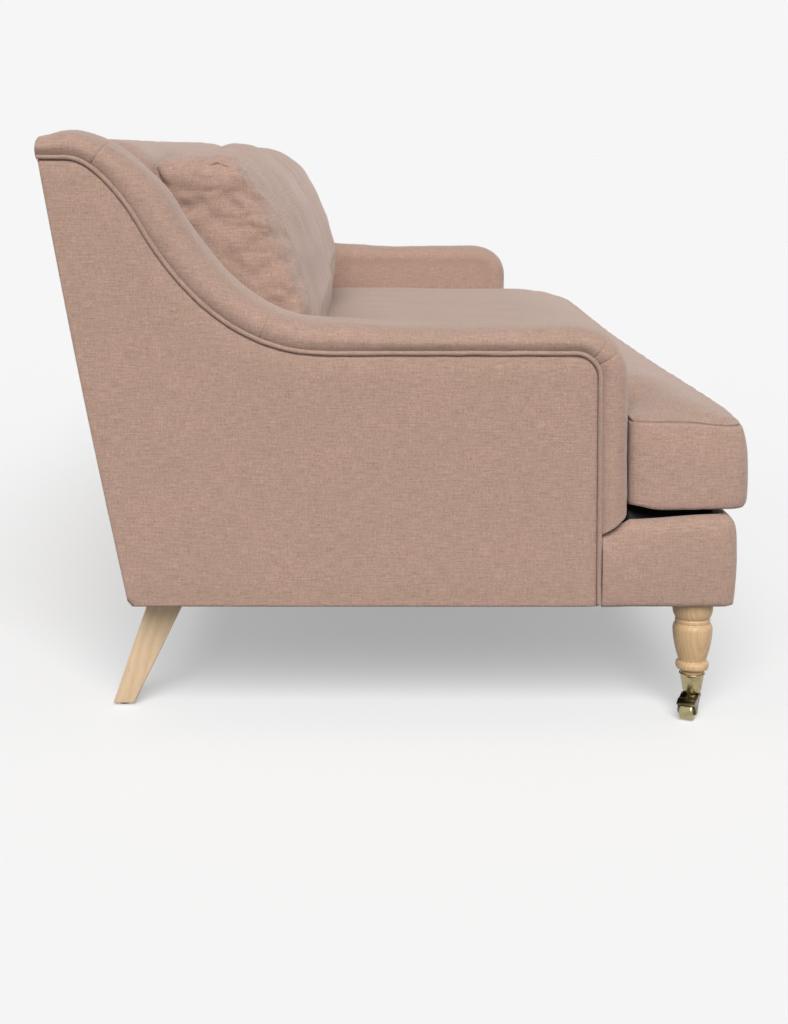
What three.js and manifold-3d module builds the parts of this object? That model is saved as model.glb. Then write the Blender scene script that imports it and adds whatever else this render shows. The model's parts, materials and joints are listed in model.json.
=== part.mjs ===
// English roll arm sofa: hardwood frame, zigzag springs, padded rolls with a welt, loose cushions, legs and castors.
// Millimetres. X runs to the right, Y to the back and Z up, with the origin on the floor under the middle.
import * as THREE from 'three';
import { mergeVertices } from 'three/addons/utils/BufferGeometryUtils.js';
import Module from 'manifold-3d';

const wasm = await Module();
wasm.setup();

// Overall sizes
const width = 2134;
const depth = 1046;
const baseBottom = 176.5;
const deckTop = 312;
const gap = 0.3;
const overrun = 400;

// Side outline: the welt runs level at the top of the back, sweeps down to the arm and turns down at the front
const backWeltHeight = 840;
const armWeltHeight = 552.5;
const panelSetback = 218;
const backRake = 131;
const topRun = 43.7;
const sweepRun = 378;
const armRiseRun = 160;
const frontWeltRadius = 37;
const kneeRunShare = 0.278;
const kneeDropShare = 0.335;
const kneeTangentRunShare = 0.054;
const kneeTangentDropShare = 0.1224;
const sweepTangentShare = 2.45;
const topHandleShare = 0.1013;
const footHandleShare = 0.3622;

// Layers of the side, from the outside in
const weltRadius = 3.5;
const weltProud = 2;
const panelThickness = 10;
const postThickness = 45;
const armPadThickness = 65;
const rollRise = 40;
const rollOuterRound = 48;
const rollInnerRound = 44;
const mitreDrop = 30;
const rollFrontShare = 1.15;

// Back
const backBoard = 10;
const backPostDepth = 60;
const backPadDepth = 82;
const strapThickness = 2.4;
const strapWidth = 60;
const strapCount = 4;
const strapLap = 10;
const crestRise = 27;
const crestSetback = 86;
const crestShoulderDrop = 62;
const topRailDrop = 8;
const topRailHeight = 70;
const lowerRailBottom = 300;
const lowerRailHeight = 50;
const centrePostWidth = 50;

// Seat frame
const dustCoverThickness = 1.5;
const railHeight = 100;
const railThickness = 30;
const stretcherHeight = 80;
const blockLeg = 90;
const blockHeight = 78;
const armRailDepth = 40;
const wingDepth = 45;
const frontPostDepth = 60;
const armPadLap = 16;

// Springs
const springCount = 6;
const springWaves = 11;
const springWire = 4;
const springSwing = 25;
const springTurn = 16;
const springEndLap = 15;

// Front border
const borderThickness = 25;
const borderRound = 24;
const borderCornerRadius = 20;
const borderSetback = 16;

// Seat cushion
const seatSeamHeight = 449;
const seatCrown = 51;
const seatCrownReach = 190;
const seatBulge = 8;
const seatSideClearance = 3;
const seatEarClearance = 2.5;
const seatEarInset = 5;
const seatRearClearance = 5;
const seatCornerRound = 18;
const seatDrawIn = 6;
const seatBottomRound = 12;

// Back cushions
const backCushionHeight = 346;
const backCushionThickness = 190;
const backCushionCrown = 54;
const backCushionTopCrown = 50;
const backCushionEndDraw = 10;
const backCushionSwellPower = 2.6;
const cushionFootShare = 0.84;
const cushionEndFaceShare = 0.4;
const backCushionSideClearance = 6;
const backCushionMiddleGap = 8;

// Front leg, turned
const legRadius = 30.3;
const legInset = 45;
const legSetback = 71;

// Rear leg, flat and splayed
const rearLegInset = 85;
const rearLegTopDepth = 58;
const rearLegFootDepth = 32;
const rearLegTopThickness = 45;
const rearLegFootThickness = 34;
const rearLegTopSetback = 24.7;
const rearLegSplay = 59;
const glideRadius = 11;
const glideHeight = 3;

// Castor
const cupHeight = 65.3;
const cupLipRadius = 19.6;
const cupFootRadius = 13.5;
const cupBottom = 36;
const cupFloor = 3.5;
const cupWall = 1.7;
const legEndHeight = 46.5;
const headRoom = 7;
const pinRadius = 3;
const pinHeadRadius = 5.2;
const pinHeadHeight = 2.6;
const forkPlateHeight = 5.5;
const wheelRadius = 14;
const wheelWidth = 21;
const wheelTrail = 24.6;
const wheelSideGap = 0.5;
const forkCheek = 2.5;
const hoodGap = 1.2;
const hoodThickness = 2.8;
const cheekBossRadius = 5.6;
const axleRadius = 3;
const axleHeadRadius = 4.4;
const axleHeadHeight = 1.6;
const hoodFrontAngle = 42;
const hoodTopAngle = 100;
const hoodRootAngle = 128;
const cheekTopAngle = 60;
const cheekBossStart = 210;
const cheekBossEnd = 380;
const castorYaw = THREE.MathUtils.degToRad(26);

// Sides and steps of the round forms
const weltSides = 6;
const springSides = 4;
const turnedSides = 20;
const castorSides = 20;
const hoodSteps = 7;
const cheekSteps = 4;
const bandSteps = 4;
const cornerSteps = 5;

// Materials
const cloth = new THREE.MeshStandardMaterial({ color: '#b5998b', roughness: 0.95, metalness: 0 });
const wood = new THREE.MeshStandardMaterial({ color: '#cdaa7d', roughness: 0.55, metalness: 0 });
const frameWood = new THREE.MeshStandardMaterial({ color: '#b88f5f', roughness: 0.7, metalness: 0 });
const steel = new THREE.MeshStandardMaterial({ color: '#8c8f92', roughness: 0.4, metalness: 0.9 });
const webbing = new THREE.MeshStandardMaterial({ color: '#4b4640', roughness: 0.9, metalness: 0 });
const dustCloth = new THREE.MeshStandardMaterial({ color: '#2b2a29', roughness: 0.95, metalness: 0 });
const padding = new THREE.MeshStandardMaterial({ color: '#d9d2c4', roughness: 0.95, metalness: 0 });
const brass = new THREE.MeshStandardMaterial({ color: '#a0966a', roughness: 0.35, metalness: 0.95 });
const nylon = new THREE.MeshStandardMaterial({ color: '#2c2926', roughness: 0.6, metalness: 0 });

// Places worked out from the sizes
const crestHeight = backWeltHeight + crestRise;
const frontY = -depth / 2;
const rearY = depth / 2;
const weltFrontY = frontY + panelSetback;
const panelFace = width / 2 - weltProud;
const panelInner = panelFace - panelThickness;
const postOuter = panelInner - gap;
const postInner = postOuter - postThickness;
const padOuter = postInner - gap;
const padInner = padOuter - armPadThickness;
const backHalf = padInner - gap;
const railBottom = baseBottom + dustCoverThickness + gap;
const railTop = railBottom + railHeight;
const springZ = railTop + gap + springWire / 2;
const deckBottom = springZ + springWire / 2 + gap;
const armFrontY = weltFrontY - rollRise * rollFrontShare;
const borderFront = frontY + borderSetback;
const borderInner = borderFront + borderThickness;
const borderReturn = panelFace - borderThickness;
const frontRailFront = borderInner + gap;
const frontRailBack = frontRailFront + railThickness;
const earRearY = armFrontY - seatEarClearance;

const rearAt = (z) => rearY - (backRake * Math.max(backWeltHeight - z, 0)) / (backWeltHeight - baseBottom);
const boardFrontAt = (z) => rearAt(z) - backBoard - gap;
const postFrontAt = (z) => boardFrontAt(z) - backPostDepth;
const strapFrontAt = (z) => postFrontAt(z) - gap - strapThickness;
const backFaceAt = (z) => strapFrontAt(z) - gap - backPadDepth;

// Model and its helpers
const sofa = new THREE.Group();
sofa.name = 'english_roll_arm_sofa';
const leftTurn = new THREE.Matrix4().makeBasis(
  new THREE.Vector3(0, 1, 0),
  new THREE.Vector3(0, 0, 1),
  new THREE.Vector3(1, 0, 0),
);

function add(name, geometry, material) {
  const mesh = new THREE.Mesh(geometry, material);
  mesh.name = name;
  sofa.add(mesh);
  return mesh;
}

function flipped(geometry) {
  const copy = geometry.index ? geometry.clone() : mergeVertices(geometry.clone());
  const order = copy.index.array;
  for (let i = 0; i < order.length; i += 3) {
    [order[i], order[i + 1]] = [order[i + 1], order[i]];
  }
  return copy;
}

function mirrored(geometry) {
  return flipped(geometry).scale(-1, 1, 1);
}

function addPair(name, geometry, material) {
  add(`left_${name}`, mirrored(geometry), material);
  add(`right_${name}`, geometry, material);
}

function bare(geometry) {
  const copy = geometry.clone();
  copy.deleteAttribute('normal');
  copy.deleteAttribute('uv');
  return mergeVertices(copy);
}

function signedVolume(positions, order) {
  const [a, b, c] = [new THREE.Vector3(), new THREE.Vector3(), new THREE.Vector3()];
  let volume = 0;
  for (let i = 0; i < order.length; i += 3) {
    a.fromArray(positions, 3 * order[i]);
    b.fromArray(positions, 3 * order[i + 1]);
    c.fromArray(positions, 3 * order[i + 2]);
    volume += a.dot(b.cross(c)) / 6;
  }
  return volume;
}

function fromIndexed(points, order) {
  const geometry = new THREE.BufferGeometry();
  const positions = points.flatMap((p) => [p.x, p.y, p.z]);
  geometry.setAttribute('position', new THREE.Float32BufferAttribute(positions, 3));
  geometry.setIndex(order);
  return outward(geometry);
}

function outward(geometry) {
  const inside = signedVolume(geometry.attributes.position.array, geometry.index.array) < 0;
  const facing = inside ? flipped(geometry) : geometry;
  facing.computeVertexNormals();
  return facing;
}

// Triangles of a flat ring, in the ring's own direction
function capOf(ring) {
  const normal = new THREE.Vector3();
  ring.forEach((p, i) => normal.add(p.clone().cross(ring[(i + 1) % ring.length])));
  normal.normalize();
  const across = new THREE.Vector3().subVectors(ring[1], ring[0]).normalize();
  const up = new THREE.Vector3().crossVectors(normal, across);
  const flat = ring.map((p) => new THREE.Vector2(p.dot(across), p.dot(up)));
  const faces = THREE.ShapeUtils.triangulateShape(flat, []);
  const area = ([a, b, c]) => flat[b].clone().sub(flat[a]).cross(flat[c].clone().sub(flat[a]));
  const turn = faces.reduce((sum, face) => sum + area(face), 0);
  return turn > 0 ? faces : faces.map(([a, b, c]) => [a, c, b]);
}

// Closed body through rings of equal length, flat at both ends
function loft(rings) {
  const count = rings[0].length;
  const order = [];
  for (let r = 0; r + 1 < rings.length; r += 1) {
    for (let i = 0; i < count; i += 1) {
      const a = r * count + i;
      const b = r * count + ((i + 1) % count);
      order.push(a, b, b + count, a, b + count, a + count);
    }
  }
  const last = (rings.length - 1) * count;
  capOf(rings[0]).forEach(([a, b, c]) => order.push(a, c, b));
  capOf(rings[rings.length - 1]).forEach(([a, b, c]) => order.push(last + a, last + b, last + c));
  return fromIndexed(rings.flat(), order);
}

// Board with its outline in the side view, from one X to another
function slab(outline, fromX, toX) {
  const shape = new THREE.Shape(outline);
  const geometry = new THREE.ExtrudeGeometry(shape, { depth: toX - fromX, bevelEnabled: false });
  return geometry.applyMatrix4(leftTurn).translate(fromX, 0, 0);
}

// Plate with its outline in the plan, from one height to another
function plate(outline, fromZ, toZ) {
  const shape = new THREE.Shape(outline);
  const geometry = new THREE.ExtrudeGeometry(shape, { depth: toZ - fromZ, bevelEnabled: false });
  return geometry.translate(0, 0, fromZ);
}

function box(fromX, toX, fromY, toY, fromZ, toZ) {
  const geometry = new THREE.BoxGeometry(toX - fromX, toY - fromY, toZ - fromZ);
  return geometry.translate((fromX + toX) / 2, (fromY + toY) / 2, (fromZ + toZ) / 2);
}

// Turned form about the vertical axis, from [radius, height] pairs
function turned(profile, sides) {
  const points = profile.map(([r, z]) => new THREE.Vector2(r, z));
  return outward(bare(new THREE.LatheGeometry(points, sides).rotateX(Math.PI / 2)));
}

function solid(geometry) {
  const clean = bare(geometry);
  return new wasm.Manifold(
    new wasm.Mesh({
      numProp: 3,
      vertProperties: new Float32Array(clean.attributes.position.array),
      triVerts: new Uint32Array(clean.index.array),
    }),
  );
}

function meshOf(manifold) {
  const { vertProperties, triVerts } = manifold.getMesh();
  const geometry = new THREE.BufferGeometry();
  geometry.setAttribute('position', new THREE.Float32BufferAttribute(vertProperties, 3));
  geometry.setIndex(Array.from(triVerts));
  geometry.computeVertexNormals();
  return geometry;
}

const at = (y, z) => new THREE.Vector2(y, z);
const ease = (t) => t * t * (3 - 2 * t);

// Welt line in the side view, from the top of the back to the front foot
const drop = backWeltHeight - armWeltHeight;
const sweepTopY = rearY - topRun;
const sweepFootY = sweepTopY - sweepRun;
const knee = at(sweepTopY - kneeRunShare * sweepRun, backWeltHeight - kneeDropShare * drop);
const kneeTangent = at(kneeTangentRunShare * sweepRun, kneeTangentDropShare * drop);
const cornerY = weltFrontY + frontWeltRadius;
const cornerZ = armWeltHeight - frontWeltRadius;

const topLine = new THREE.LineCurve(at(rearY, backWeltHeight), at(sweepTopY, backWeltHeight));
const kneeCurve = new THREE.CubicBezierCurve(
  at(sweepTopY, backWeltHeight),
  at(sweepTopY - topHandleShare * sweepRun, backWeltHeight),
  knee.clone().add(kneeTangent),
  knee,
);
const sweepCurve = new THREE.CubicBezierCurve(
  knee,
  knee.clone().addScaledVector(kneeTangent, -sweepTangentShare),
  at(sweepFootY + footHandleShare * sweepRun, armWeltHeight),
  at(sweepFootY, armWeltHeight),
);
const armRise = new THREE.LineCurve(at(sweepFootY, armWeltHeight), at(sweepFootY - armRiseRun, armWeltHeight));
const armLine = new THREE.LineCurve(at(sweepFootY - armRiseRun, armWeltHeight), at(cornerY, armWeltHeight));
const cornerCurve = new THREE.EllipseCurve(
  cornerY, cornerZ, frontWeltRadius, frontWeltRadius, Math.PI / 2, Math.PI, false, 0,
);
const frontLine = new THREE.LineCurve(at(weltFrontY, cornerZ), at(weltFrontY, deckTop));

// Each stretch has its curve, its steps and the share of the roll's rise at its start and end
const stretches = [
  { curve: topLine, steps: 3, riseShares: [0.62, 0.95] },
  { curve: kneeCurve, steps: 7, riseShares: [0.95, 1.4] },
  { curve: sweepCurve, steps: 9, riseShares: [1.4, 1.26] },
  { curve: armRise, steps: 3, riseShares: [1.26, 0.97] },
  { curve: armLine, steps: 2, riseShares: [0.97, 0.96] },
  { curve: cornerCurve, steps: 6, riseShares: [0.96, rollFrontShare] },
  { curve: frontLine, steps: 2, riseShares: [rollFrontShare, rollFrontShare] },
];

function samplesOf({ curve, steps, riseShares }, first) {
  const samples = [];
  for (let i = first ? 0 : 1; i <= steps; i += 1) {
    const t = i / steps;
    const tangent = curve.getTangent(t);
    const share = THREE.MathUtils.lerp(riseShares[0], riseShares[1], ease(t));
    samples.push({ point: curve.getPoint(t), out: at(tangent.y, -tangent.x), rise: rollRise * share });
  }
  return samples;
}

const weltLine = stretches.flatMap((stretch, i) => samplesOf(stretch, i === 0));
const sampleAtStartOf = (curve) => {
  const before = stretches.slice(0, stretches.findIndex((stretch) => stretch.curve === curve));
  return before.reduce((sum, stretch) => sum + stretch.steps, 0);
};
const offset = (sample, by) => sample.point.clone().addScaledVector(sample.out, by);

function weltHeightAt(y) {
  const next = weltLine.findIndex((sample) => sample.point.x <= y);
  const [a, b] = [weltLine[next - 1].point, weltLine[next].point];
  return THREE.MathUtils.mapLinear(y, a.x, b.x, a.y, b.y);
}

// Outline of what fills the side up to the welt line, moved in by a margin
function sideOutline(margin, bottom, rearLine) {
  const top = weltLine.map((sample) => offset(sample, -margin));
  const under = top.filter((p) => p.x < rearLine(p.y) - gap);
  const topZ = backWeltHeight - margin;
  const edge = under[0].y < topZ - gap ? weltHeightAt(rearLine(under[0].y)) - margin : topZ;
  const outline = [at(rearLine(bottom), bottom), at(rearLine(edge), edge), ...under];
  outline.pop();
  outline.push(at(weltFrontY + margin, bottom));
  return outline;
}

// Side panel: board under the outside cloth, one piece from the arm to the top of the back
const seamMargin = weltRadius + gap;
addPair('side_panel', slab(sideOutline(seamMargin, baseBottom, rearAt), panelInner, panelFace), cloth);

// Welt: piping in the seam between the side panel and the roll
function weltGeometry() {
  const centreX = width / 2 - weltRadius;
  const foot = { point: at(weltFrontY, baseBottom), out: at(-1, 0) };
  return loft(
    [...weltLine, foot].map(({ point, out }) =>
      Array.from({ length: weltSides }, (_, i) => {
        const angle = (2 * Math.PI * i) / weltSides;
        const reach = weltRadius * Math.sin(angle);
        const p = point.clone().addScaledVector(out, reach);
        return new THREE.Vector3(centreX + weltRadius * Math.cos(angle), p.x, p.y);
      }),
    ),
  );
}
addPair('welt', weltGeometry(), cloth);

// Arm roll: padded band over the welt line, as wide as the whole arm
function rollSection(rise) {
  const section = [];
  for (let i = 0; i <= bandSteps; i += 1) {
    const angle = (Math.PI / 2) * (i / bandSteps);
    const x = panelFace - rollOuterRound * (1 - Math.cos(angle));
    section.push([x, seamMargin + (rise - seamMargin) * Math.sin(angle)]);
  }
  for (let i = bandSteps; i >= 0; i -= 1) {
    const angle = (Math.PI / 2) * (i / bandSteps);
    const x = padInner + rollInnerRound * (1 - Math.cos(angle));
    section.push([x, gap / 2 + (rise - gap / 2) * Math.sin(angle)]);
  }
  const stepX = width / 2 - 2 * weltRadius - gap;
  section.push([stepX, gap / 2], [stepX, seamMargin]);
  return section;
}

const mitreLow = deckTop - mitreDrop + gap;
const mitreHigh = deckTop + gap;
const mitreAt = (y) => THREE.MathUtils.mapLinear(y, weltFrontY, armFrontY, mitreLow, mitreHigh);

function rollGeometry() {
  const rings = weltLine.slice(0, -1).map((sample) =>
    rollSection(sample.rise).map(([x, reach]) => {
      const p = offset(sample, reach);
      return new THREE.Vector3(x, p.x, p.y);
    }),
  );
  const foot = weltLine[weltLine.length - 1];
  rings.push(
    rollSection(foot.rise).map(([x, reach]) => {
      const y = weltFrontY - reach;
      return new THREE.Vector3(x, y, mitreAt(y));
    }),
  );
  return loft(rings);
}
addPair('arm_roll', rollGeometry(), cloth);

// Inside arm pad
const armPadBottom = railTop - armPadLap;
const armPadRear = (z) => postFrontAt(z) - gap;
addPair('inside_arm', slab(sideOutline(gap / 2, armPadBottom, armPadRear), padInner, padOuter), cloth);

// Hardwood of the arms and of the back's sides
const cornerArc = weltLine.slice(sampleAtStartOf(cornerCurve), sampleAtStartOf(frontLine) + 1);
const frontPostBack = Math.max(weltFrontY + frontPostDepth, cornerY);
const postBase = railTop + gap;
const frontPost = [
  at(frontPostBack, postBase),
  at(frontPostBack, armWeltHeight - gap / 2),
  ...cornerArc.map((sample) => offset(sample, -gap / 2)),
  at(weltFrontY + gap / 2, postBase),
];
addPair('front_post', slab(frontPost, postInner, postOuter), frameWood);

const armRailTop = armWeltHeight - gap / 2;
addPair(
  'arm_rail',
  box(postInner, postOuter, frontPostBack + gap, sweepFootY - gap, armRailTop - armRailDepth, armRailTop),
  frameWood,
);

const topRailTop = weltHeightAt(postFrontAt(backWeltHeight)) - topRailDrop;
const slanted = (front, back, low, high) => [
  at(front(low), low), at(back(low), low), at(back(high), high), at(front(high), high),
];
addPair(
  'back_post',
  slab(slanted(postFrontAt, boardFrontAt, railBottom, topRailTop), postInner, postOuter),
  frameWood,
);

function wingGeometry() {
  const run = weltLine.slice(sampleAtStartOf(kneeCurve), sampleAtStartOf(armRise) + 1);
  const outer = run.map((sample) => offset(sample, -gap / 2));
  const inner = run.map((sample) => offset(sample, -gap / 2 - wingDepth)).reverse();
  const board = slab([...outer, ...inner], postInner, postOuter);
  const front = (z) => postFrontAt(z) - gap;
  const behind = (z) => postFrontAt(z) + overrun;
  const low = baseBottom;
  const high = backWeltHeight + overrun;
  const behindPost = slab(slanted(front, behind, low, high), postInner - overrun, postOuter + overrun);
  return meshOf(solid(board).subtract(solid(behindPost)));
}
addPair('wing_rail', wingGeometry(), frameWood);

// Hardwood of the seat
const sideRailOuter = borderReturn - gap;
const backRailBack = boardFrontAt(railBottom);
const backRailFront = backRailBack - railThickness;
const sideRail = [
  at(frontRailBack + gap, railBottom),
  at(postFrontAt(railBottom) - gap, railBottom),
  at(postFrontAt(railTop) - gap, railTop),
  at(frontRailBack + gap, railTop),
];
const railEnd = postInner - gap;
addPair('side_rail', slab(sideRail, postInner, sideRailOuter), frameWood);
add(
  'front_seat_rail',
  box(-sideRailOuter, sideRailOuter, frontRailFront, frontRailBack, railBottom, railTop),
  frameWood,
);
add('back_seat_rail', box(-railEnd, railEnd, backRailFront, backRailBack, railBottom, railTop), frameWood);
add(
  'seat_stretcher',
  box(
    -railThickness / 2,
    railThickness / 2,
    frontRailBack + gap,
    backRailFront - gap,
    railBottom,
    railBottom + stretcherHeight,
  ),
  frameWood,
);

function cornerBlock(cornerAtY, towards) {
  const x = railEnd;
  const y = cornerAtY + towards * gap;
  const outline = [at(x, y), at(x - blockLeg, y), at(x, y + towards * blockLeg)];
  return plate(outline, railBottom, railBottom + blockHeight);
}
addPair('front_corner_block', cornerBlock(frontRailBack, 1), frameWood);
addPair('rear_corner_block', cornerBlock(backRailFront, -1), frameWood);

// Hardwood of the back
const betweenPosts = (low, high, halfWidth) =>
  slab(slanted(postFrontAt, boardFrontAt, low, high), -halfWidth, halfWidth);
add('back_top_rail', betweenPosts(topRailTop - topRailHeight, topRailTop, railEnd), frameWood);
add('back_lower_rail', betweenPosts(lowerRailBottom, lowerRailBottom + lowerRailHeight, railEnd), frameWood);
add(
  'back_centre_post',
  betweenPosts(
    lowerRailBottom + lowerRailHeight + gap,
    topRailTop - topRailHeight - gap,
    centrePostWidth / 2,
  ),
  frameWood,
);

// Zigzag seat springs from the front rail to the back rail
function springGeometry(x) {
  const start = frontRailFront + springEndLap;
  const end = backRailBack - springEndLap;
  const pitch = (end - start) / springWaves;
  const turn = Math.min(springTurn, pitch / 4);
  const path = [];
  for (let i = 0; i < springWaves; i += 1) {
    const y = start + i * pitch;
    path.push(at(x - springSwing, y), at(x - springSwing, y + turn));
    path.push(at(x + springSwing, y + pitch / 2), at(x + springSwing, y + pitch / 2 + turn));
  }
  const rings = path.map((p, i) => {
    const before = path[Math.max(i - 1, 0)];
    const after = path[Math.min(i + 1, path.length - 1)];
    const tangent = after.clone().sub(before).normalize();
    return Array.from({ length: springSides }, (_, k) => {
      const angle = (2 * Math.PI * (k + 1 / 2)) / springSides;
      const reach = (springWire / Math.SQRT2) * Math.cos(angle);
      const lift = (springWire / Math.SQRT2) * Math.sin(angle);
      return new THREE.Vector3(p.x - tangent.y * reach, p.y + tangent.x * reach, springZ + lift);
    });
  });
  return loft(rings);
}
for (let i = 0; i < springCount; i += 1) {
  const x = -backHalf + ((i + 1) * 2 * backHalf) / (springCount + 1);
  add(`seat_spring_${i + 1}`, springGeometry(x), steel);
}

// Webbing straps on the front of the back frame
for (let i = 0; i < strapCount; i += 1) {
  const x = -backHalf + ((i + 1 / 2) * 2 * backHalf) / strapCount;
  const outline = slanted(
    strapFrontAt,
    (z) => postFrontAt(z) - gap,
    lowerRailBottom + strapLap,
    topRailTop - strapLap,
  );
  add(`back_strap_${i + 1}`, slab(outline, x - strapWidth / 2, x + strapWidth / 2), webbing);
}

// Seat deck: one T shaped pad over the springs
const deckRear = postFrontAt(deckBottom) - gap;
const deckEarRear = armFrontY - gap;
const mirrorX = (p) => at(-p.x, p.y);
const tee = (half, ear, front, neck, rear) => {
  const side = [at(ear, front), at(ear, neck), at(half, neck), at(half, rear)];
  return [...side, ...side.map(mirrorX).reverse()];
};
add(
  'seat_deck',
  plate(tee(backHalf, borderReturn - gap, borderInner + gap, deckEarRear, deckRear), deckBottom, deckTop),
  padding,
);

// Front border: padded cover of the front rail, turned round both corners and mitred to the arm rolls
function borderGeometry() {
  const section = [[0, 0]];
  const wall = deckTop - baseBottom;
  for (let i = 0; i <= bandSteps; i += 1) {
    const angle = (Math.PI / 2) * (i / bandSteps);
    section.push([borderRound * (1 - Math.cos(angle)), wall - borderRound * (1 - Math.sin(angle))]);
  }
  section.push([borderThickness, wall], [borderThickness, 0]);
  const returnEnd = weltFrontY - seamMargin;
  const cornerCentre = at(panelFace - borderCornerRadius, borderFront + borderCornerRadius);
  const stations = [
    { edge: at(panelFace, returnEnd), inward: at(-1, 0) },
    { edge: at(panelFace, armFrontY), inward: at(-1, 0) },
  ];
  for (let i = 0; i <= cornerSteps; i += 1) {
    const angle = -(Math.PI / 2) * (i / cornerSteps);
    const inward = at(-Math.cos(angle), -Math.sin(angle));
    stations.push({ edge: cornerCentre.clone().addScaledVector(inward, -borderCornerRadius), inward });
  }
  const other = stations.map(({ edge, inward }) => ({ edge: mirrorX(edge), inward: mirrorX(inward) }));
  const all = [...stations, ...other.reverse()];
  return loft(
    all.map(({ edge, inward }) => {
      const top = edge.y > armFrontY ? mitreAt(edge.y) - gap : deckTop;
      const stretch = (top - baseBottom) / wall;
      return section.map(([inset, height]) => {
        const p = edge.clone().addScaledVector(inward, inset);
        const y = edge.y > borderInner ? p.y : Math.min(p.y, edge.y + borderThickness);
        return new THREE.Vector3(p.x, y, baseBottom + height * stretch);
      });
    }),
  );
}
add('front_border', borderGeometry(), cloth);

// Back upholstery
const insideBottom = deckTop + gap;
const shoulderZ = crestHeight - crestShoulderDrop;
const crestY = rearY - crestSetback;
const boardTop = backWeltHeight - gap / 2;
const crestFoot = backWeltHeight + gap / 2;
const crestFront = new THREE.CubicBezierCurve(
  at(backFaceAt(shoulderZ), shoulderZ),
  at(backFaceAt(shoulderZ), (shoulderZ + crestHeight) / 2),
  at((backFaceAt(shoulderZ) + crestY) / 2, crestHeight),
  at(crestY, crestHeight),
);
const crestRear = new THREE.CubicBezierCurve(
  at(crestY, crestHeight),
  at((crestY + rearY) / 2, crestHeight),
  at(rearY, (crestFoot + crestHeight) / 2),
  at(rearY, crestFoot),
);
const insideBack = [
  at(backFaceAt(insideBottom), insideBottom),
  ...crestFront.getPoints(cornerSteps),
  ...crestRear.getPoints(cornerSteps).slice(1),
  at(boardFrontAt(crestFoot), crestFoot),
  at(boardFrontAt(topRailTop + gap), topRailTop + gap),
  at(strapFrontAt(topRailTop + gap) - gap, topRailTop + gap),
  at(strapFrontAt(insideBottom) - gap, insideBottom),
];
add('inside_back', slab(insideBack, -backHalf, backHalf), cloth);
add(
  'outside_back',
  slab(slanted((z) => rearAt(z) - backBoard, rearAt, baseBottom, boardTop), gap - panelInner, panelInner - gap),
  cloth,
);
add(
  'dust_cover',
  box(
    gap - borderReturn,
    borderReturn - gap,
    borderInner + gap,
    rearAt(baseBottom) - backBoard - gap,
    baseBottom,
    baseBottom + dustCoverThickness,
  ),
  dustCloth,
);

// Seat cushion: one bench cushion with an ear in front of each arm
const seatHalf = backHalf - seatSideClearance;
const seatEar = width / 2 - seatEarInset - seatBulge;
const seatFront = frontY + seatBulge;
const seatRear = backFaceAt(deckTop) - seatRearClearance;
const seatOutline = tee(seatHalf, seatEar, seatFront, earRearY, seatRear);

const seatTop = seatSeamHeight + seatCrown;
const cushionFootY = backFaceAt(seatTop) - gap - cushionFootShare * backCushionThickness;

function distanceTo(outline, p) {
  return Math.min(
    ...outline.map((a, i) => {
      const b = outline[(i + 1) % outline.length];
      const along = b.clone().sub(a);
      const t = THREE.MathUtils.clamp(p.clone().sub(a).dot(along) / along.lengthSq(), 0, 1);
      return p.distanceTo(a.clone().addScaledVector(along, t));
    }),
  );
}

function seatHeightAt(p) {
  const near = Math.min(distanceTo(seatOutline, p) / seatCrownReach, 1);
  return seatSeamHeight + seatCrown * (1 - (1 - near) ** 2);
}

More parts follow.
